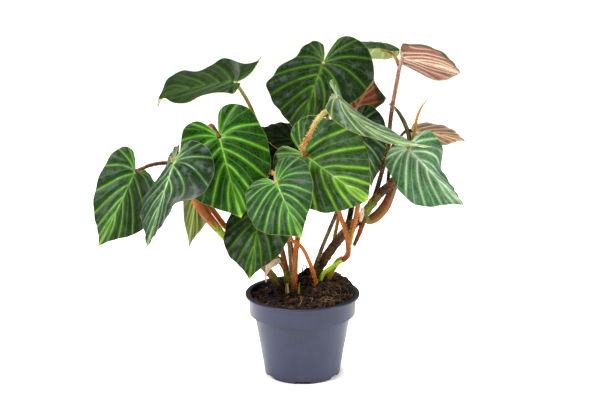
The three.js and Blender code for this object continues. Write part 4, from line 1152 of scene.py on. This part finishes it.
def make_pot(material):
    p = POT
    lip = p["height"] - p["rim_height"]
    outline = [
        (0, 0), (p["middle_foot"], 0), (p["middle_foot"] + 1, p["recess"]),
        (p["recess_radius"], p["recess"]), (p["recess_radius"] + 0.5, 0),
        (p["foot_radius"] - p["foot_edge"], 0), (p["foot_radius"], p["foot_edge"]),
        (p["body_top_radius"], p["collar_bottom_z"]), (p["collar_bottom_radius"], p["collar_bottom_z"]),
        (p["collar_top_radius"], lip), (p["rim_radius"] - 0.3, lip),
        (p["rim_radius"], lip + p["rim_height"] / 2), (p["rim_radius"] - 0.4, p["height"]),
        (p["collar_top_radius"] - p["wall"], p["height"]),
        *inner_wall(0), (0, p["recess"] + p["wall"]),
    ]
    points, faces = lathe(rounded(outline, 0.6), p["sides"])
    pot = piece("pot_shell", points, faces, [material], ["pot"])
    wide, deep = DRAIN["notch_width"] / 2, DRAIN["notch_depth"] / 2
    notch = [(x * wide, y * deep - p["foot_radius"]) for x, y in ((-1, -1), (1, -1), (1, 1), (-1, 1))]
    hole = [(DRAIN["hole_radius"] * math.cos(a), DRAIN["hole_radius"] * math.sin(a) - DRAIN["hole_circle"])
            for a in turns(24)]
    for k in range(DRAIN["count"]):
        angle = 2 * math.pi * k / DRAIN["count"]
        cut_away(pot, *prism(spun(notch, angle), -DRAIN["notch_height"], DRAIN["notch_height"]))
        cut_away(pot, *prism(spun(hole, angle + math.pi / DRAIN["count"]), -p["recess"], 3 * p["recess"]))
    pot.data.polygons.foreach_set("use_smooth", np.full(len(pot.data.polygons), True))
    pot.data.set_sharp_from_angle(angle=math.radians(35))


def soil_height(x, y):
    """The height of the mounded soil, without its crumbs."""
    spread = np.where(x > SOIL["mound_x"], SOIL["spread_right"], SOIL["spread_left"])
    away = ((x - SOIL["mound_x"]) / spread) ** 2 + ((y - SOIL["mound_y"]) / SOIL["spread_depth"]) ** 2
    return SOIL["level"] + SOIL["mound_height"] * np.exp(-away / 2)


def make_soil(material):
    wall = inner_wall(SOIL["clearance"])[::-1]
    radius = POT["collar_bottom_radius"] - POT["wall"] - SOIL["clearance"]
    rings, sides = 52, 240
    top = [(radius * (1 - i / rings), SOIL["level"]) for i in range(rings + 1)]
    points, faces = lathe([(0, wall[0][1]), *wall, *top], sides)
    upper = points[:, 2] > SOIL["level"] - 1
    x, y = points[upper, 0], points[upper, 1]
    here = np.stack([x, y, np.zeros_like(x)], axis=-1)
    crumbs = 2.2 * lumps(here, 9, 3.1, 3) + 2.0 * np.abs(lumps(here, 3.6, 8.4, 3))
    inside = smoothstep(radius, radius - 5, np.hypot(x, y))
    points[upper, 2] = soil_height(x, y) + (crumbs - 1) * (0.25 + 0.75 * inside)
    piece("soil_body", points, faces, [material], ["soil"])


def scatter_spot(reach):
    """A random place on the soil, within that radius."""
    while True:
        x, y = random.uniform(-reach, reach), random.uniform(-reach, reach)
        if x * x + y * y < reach * reach:
            return x, y, float(soil_height(x, y))


def icosphere():
    """The corners and faces of a once divided icosahedron."""
    golden = (1 + 5 ** 0.5) / 2
    flat = [(a, b * golden, 0) for b in (1, -1) for a in (-1, 1)]
    corners = np.array([np.roll(corner, k) for k in range(3) for corner in flat])
    faces = []
    for face in itertools.combinations(range(len(corners)), 3):
        a, b, c = corners[list(face)]
        if max(np.linalg.norm(a - b), np.linalg.norm(b - c), np.linalg.norm(c - a)) < 2.1:
            faces.append(face if np.dot(np.cross(a, b), c) > 0 else face[::-1])
    points = [unit(corner) for corner in corners]
    halves, divided = {}, []

    def half(a, b):
        key = (min(a, b), max(a, b))
        if key not in halves:
            halves[key] = len(points)
            points.append(unit(points[a] + points[b]))
        return halves[key]

    for a, b, c in faces:
        ab, bc, ca = half(a, b), half(b, c), half(c, a)
        divided += [(a, ab, ca), (b, bc, ab), (c, ca, bc), (ab, bc, ca)]
    return np.array(points), np.array(divided)


def make_crumbs(material):
    """Clods and flakes of peat lying on the soil."""
    ball, ball_faces = icosphere()
    points, faces = [], []
    for number in range(CRUMBS + HEAP_CRUMBS):
        x, y, z = scatter_spot(CRUMB_REACH)
        if number >= CRUMBS:
            wide, deep = HEAP["half_width"], HEAP["half_depth"]
            x, y = random.gauss(HEAP["x"], wide), random.gauss(HEAP["y"], deep)
            heap = HEAP["height"] * math.exp(-((x - HEAP["x"]) / wide) ** 2 - ((y - HEAP["y"]) / deep) ** 2)
            z = float(soil_height(x, y)) + random.uniform(0, 1) * heap
        size = random.choice((0.7, 1.0, 1.4, 1.9)) if number % 8 else random.uniform(2.2, 4.0)
        shape = ball * (1 + 0.45 * lumps(ball, 0.7, number * 0.37, 2))[:, None]
        squash = [size * random.uniform(low, high) for low, high in ((0.6, 1.5), (0.6, 1.5), (0.5, 1))]
        turn = random.uniform(0, 2 * math.pi)
        tilt = random.uniform(-0.6, 0.6)
        c, s, ct, st = math.cos(turn), math.sin(turn), math.cos(tilt), math.sin(tilt)
        turned = (shape * squash) @ np.array([[c, s, 0], [-s * ct, c * ct, st], [s * st, -c * st, ct]])
        faces.append(ball_faces + len(ball) * number)
        lift = random.uniform(-0.2, 0.9) * size * 0.6 + 0.4 + 0.7 * size * random.random() ** 4
        points.append(turned + (x, y, z + lift))
    piece("soil_crumbs", np.vstack(points), np.vstack(faces).tolist(), [material], smooth=False)


def make_fibres(material):
    """Coir fibres and fine roots that lie on the soil and stand out of it."""
    points, faces = [], []
    for _ in range(FIBRES):
        x, y, z = scatter_spot(FIBRE_REACH)
        heading = random.uniform(0, 2 * math.pi)
        lift = random.choice((0.05, 0.15, 0.5)) * random.random()
        route, place = [], np.array([x, y, z + 0.4])
        for _ in range(random.randint(4, 8)):
            route.append(tuple(place))
            heading += random.uniform(-0.7, 0.7)
            step = random.uniform(1.8, 3.8)
            place = place + step * np.array([math.cos(heading), math.sin(heading), 0])
            if math.hypot(place[0], place[1]) > FIBRE_LIMIT:
                break
            ground = float(soil_height(place[0], place[1])) + 0.6
            place[2] = ground + lift * step * len(route)
            lift *= 0.8
        if len(route) < 3:
            continue
        path, _ = spline(route, FIBRE_STEPS)
        radii = random.uniform(0.14, 0.36) * (1 - 0.6 * np.linspace(0, 1, FIBRE_STEPS))
        tube_points, tube_faces, _ = tube(path, radii, 4)
        faces += [tuple(len(points) + k for k in face) for face in tube_faces]
        points += tube_points.tolist()
    piece("soil_fibres", points, faces, [material])


def make_twig(material):
    """The dark curled bit that stands out of the soil between the stems."""
    steps = 24
    path, _ = spline([(1, 14, 98), (0, 14, 108), (1.5, 14, 113), (4, 14, 112), (4.5, 14, 109)], steps)
    points, faces, ring = tube(path, np.linspace(0.9, 0.45, steps), 8)
    points = points + ring * 0.3 * lumps(points, 1.6, 5.0, 2)[:, None]
    piece("soil_twig", points, faces, [material])


def make_camera():
    lens = bpy.data.cameras.new("camera")
    lens.lens = CAMERA["focal_length"]
    lens.sensor_width = CAMERA["sensor_width"]
    lens.clip_start = CAMERA["near"]
    camera = add_object("camera", lens)
    camera.location = CAMERA["place"]
    camera.rotation_euler = (math.radians(90 - CAMERA["tilt"]), 0, 0)
    bpy.context.scene.camera = camera


def make_lights():
    """The soft lights and a white sky, with plain colours in the render."""
    for name, (place, size, power) in LIGHTS.items():
        lamp = bpy.data.lights.new(name, "AREA")
        lamp.shape = "DISK"
        lamp.size = size
        lamp.energy = power
        light = add_object(name, lamp)
        light.location = place
        light.rotation_euler = (Vector(LIGHT_TARGET) - Vector(place)).to_track_quat("-Z", "Y").to_euler()
    world = bpy.data.worlds.new("studio")
    world.use_nodes = True
    world.node_tree.nodes["Background"].inputs["Color"].default_value = (1, 1, 1, 1)
    world.node_tree.nodes["Background"].inputs["Strength"].default_value = SKY_STRENGTH
    bpy.context.scene.world = world
    bpy.context.scene.view_settings.view_transform = "Standard"


def make_floor():
    """A pale floor that glows away from the pot, so that it blends into the white behind. Its glow fades
    out at the pot's foot: a painted shadow round and under the pot.
    """
    tree = Tree("pale_floor")
    place = tree.object_place()
    tree.colour = tree.ramp(tree.noise(place, 900, 2), [(0.3, "f6f6f6"), (0.7, "fcfcfc")])
    away = tree.add("ShaderNodeVectorMath", {"Vector": place}, operation="LENGTH").outputs["Value"]
    tree.join(linear("ffffff"), tree.shader.inputs["Emission Color"])
    # Painted shadow: the glow rises from nothing at the foot's edge to full 13 mm further out.
    tree.join(tree.span(away, 37, 50, 0, 0.72), tree.shader.inputs["Emission Strength"])
    reach = FLOOR_REACH
    corners = [(-reach, -reach, 0), (reach, -reach, 0), (reach, reach, 0), (-reach, reach, 0)]
    mesh = new_mesh("floor", corners, [(0, 1, 2, 3)])
    mesh.materials.append(tree.finish(roughness=0.9, specular=0.1))
    floor = add_object("floor", mesh)


def main():
    make_camera()
    make_floor()
    make_lights()
    materials = {f"top_{tone}": blade_top(tone) for tone in TOP_LOOKS}
    materials.update({f"under_{tone}": blade_under(tone) for tone in UNDER_LOOKS})
    materials.update({
        "edge": blade_edge(),
        "stem": stem_skin("stem_skin", 0.3, 0.25, False),
        "rough_stem": stem_skin("rough_stem_skin", 0.65, 0.6, False),
        "sheath": stem_skin("sheath_skin", 0.4, 0.2, True),
        "bristle": bristle_skin(),
    })
    for name, leaf in LEAVES.items():
        make_blade(name, leaf, materials)
    for name, stem in STEMS.items():
        make_stem(name, stem, materials)
    paper = papery()
    for name, (route, widths) in HUSKS.items():
        make_husk(name, route, widths, paper)
    make_pot(pot_plastic())
    soil = peat()
    make_soil(soil)
    make_crumbs(soil)
    make_twig(soil)
    make_fibres(coir())


main()
